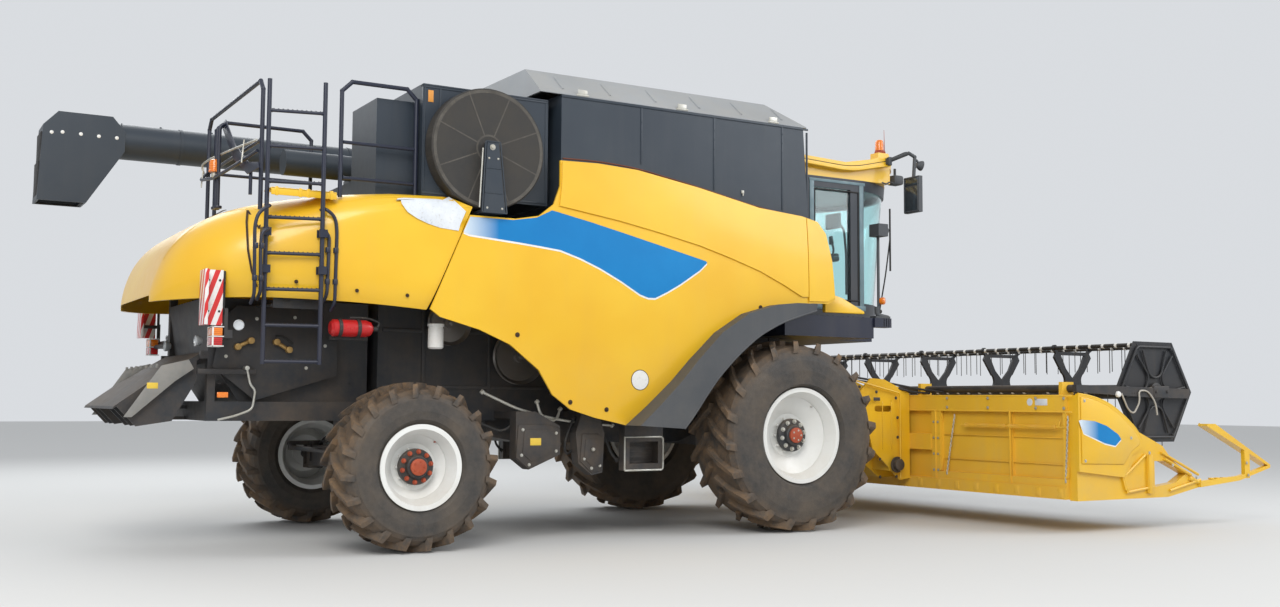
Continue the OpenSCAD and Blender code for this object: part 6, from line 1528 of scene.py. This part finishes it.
def addCabSteps(spec):
    # two rows of knobs on each step of the cab's ladder and an edge along it
    shape, y = bmesh.new(), spec["y"]
    for z in dropped("cab_ladder", spec["probe"], y):
        for n in range(spec["knobs"]):
            for dx, dy in ((0.02, -0.012), (0.038, 0.016)):
                x = spec["rear"] + 0.037 * n + dx
                addRod(shape, (x, y + dy, z - 0.002), (x, y + dy, z + 0.005), 0.009, 8, 0.006)
        addBox(shape, (spec["rear"], y - 0.042, z - 0.016), (spec["front"], y - 0.036, z + 0.004), 0.002)
    fitted(shape, "cabSteps", "cab_ladder", "rail_navy")


doorPieces = [
    {"name": "doorHandle", "body": "cab_door", "finish": "dark_plastic", "slot": "cab_paint", "rows": [
        (addTube, [(1.165, 0.928, 2.48), (1.165, 0.967, 2.49), (1.165, 0.967, 2.61), (1.165, 0.928, 2.62)],
         0.009, 0.02, 10),
        (addBox, (1.135, 0.928, 2.45), (1.195, 0.936, 2.65), 0.006),
        (addRod, (1.165, 0.930, 2.68), (1.165, 0.944, 2.68), 0.014, 18, None, 0.002)]},
    {"name": "doorSeal", "body": "cab_door", "finish": "rubberEdge", "slot": "cab_paint", "rows": [
        (addRod, (x0, 0.9305, z0), (x1, 0.9305, z1), 0.006, 8) for x0, z0, x1, z1 in (
            (0.80, 2.20, 1.18, 2.20), (0.80, 3.27, 1.18, 3.27), (0.80, 2.20, 0.80, 3.27), (1.18, 2.20, 1.18, 3.27))]},
]
vanes = {"name": "deflectorVanes", "body": "straw_deflector", "finish": "chassis_black", "rows": [
    (addPlate, [(-5.20, 1.36), (-5.42, 1.26), (-5.60, 1.05), (-5.52, 1.03), (-5.36, 1.20), (-5.18, 1.28)],
     "y", y - 0.0025, 0.005, 0.001) for y in spread(0.66, 8)]}
# ribs of the chopper's housing and the bolts of its side
chopperRibs = {"name": "chopperRibs", "finish": "chassis_black", "rows": [
    *[(addBox, (-5.05, y - 0.006, z - 0.004), (-4.84, y + 0.006, z + 0.012), 0.002)
      for y in spread(0.62, 13) for z in dropped("chopper", -4.98, y)[:1]],
    (bolts, [(x, -0.7005, z) for x in (-4.95, -4.60, -4.25, -3.90) for z in (1.10, 1.30)], sideways, 0.010, 0.008),
]}
# steering hoses, clamps and the plates at the middle of the rear axle
axleHoses = {"name": "axleHoses", "finish": "hoseBlackAndSlotShade", "slot": "chassis_black", "rows": [
    *[(addTube, [(-3.56, y * 0.3, 1.00), (-3.52, y * 0.7, 0.86), (-3.60, y, 0.80), (-3.72, y * 1.3, 0.79)],
       0.011, 0.08, 8) for y in (-0.45, 0.45)],
    (bolts, [(x, y, 0.795) for y in (-0.45, 0.45) for x in (-3.704, -3.564)], upwards, 0.014, 0.012),
    *[(addBox, (-3.742, y - 0.006, 0.60), (-3.73, y + 0.006, 0.78), 0.002) for y in (-0.9, -0.3, 0.3, 0.9)],
]}
axleBolts = {"name": "axleBolts", "finish": "zincPale", "slot": "chassis_black", "rows": [
    *[(bolts, ringOf(0.17, 12, (0.0, sign * 1.10, 0.87)), (0, sign, 0), 0.010, 0.010) for sign in (-1, 1)],
    (bolts, [(x, y, z) for x, z in ((-0.17, 1.02), (0.17, 1.02), (0.0, 1.08)) for y in (-0.62, -0.30, 0.30, 0.62)],
     upwards, 0.012, 0.010),
]}

addCabSteps(cabSteps)
for spec in doorPieces + [vanes, chopperRibs, axleHoses, axleBolts]:
    make(spec)
print("left side and tail ready")
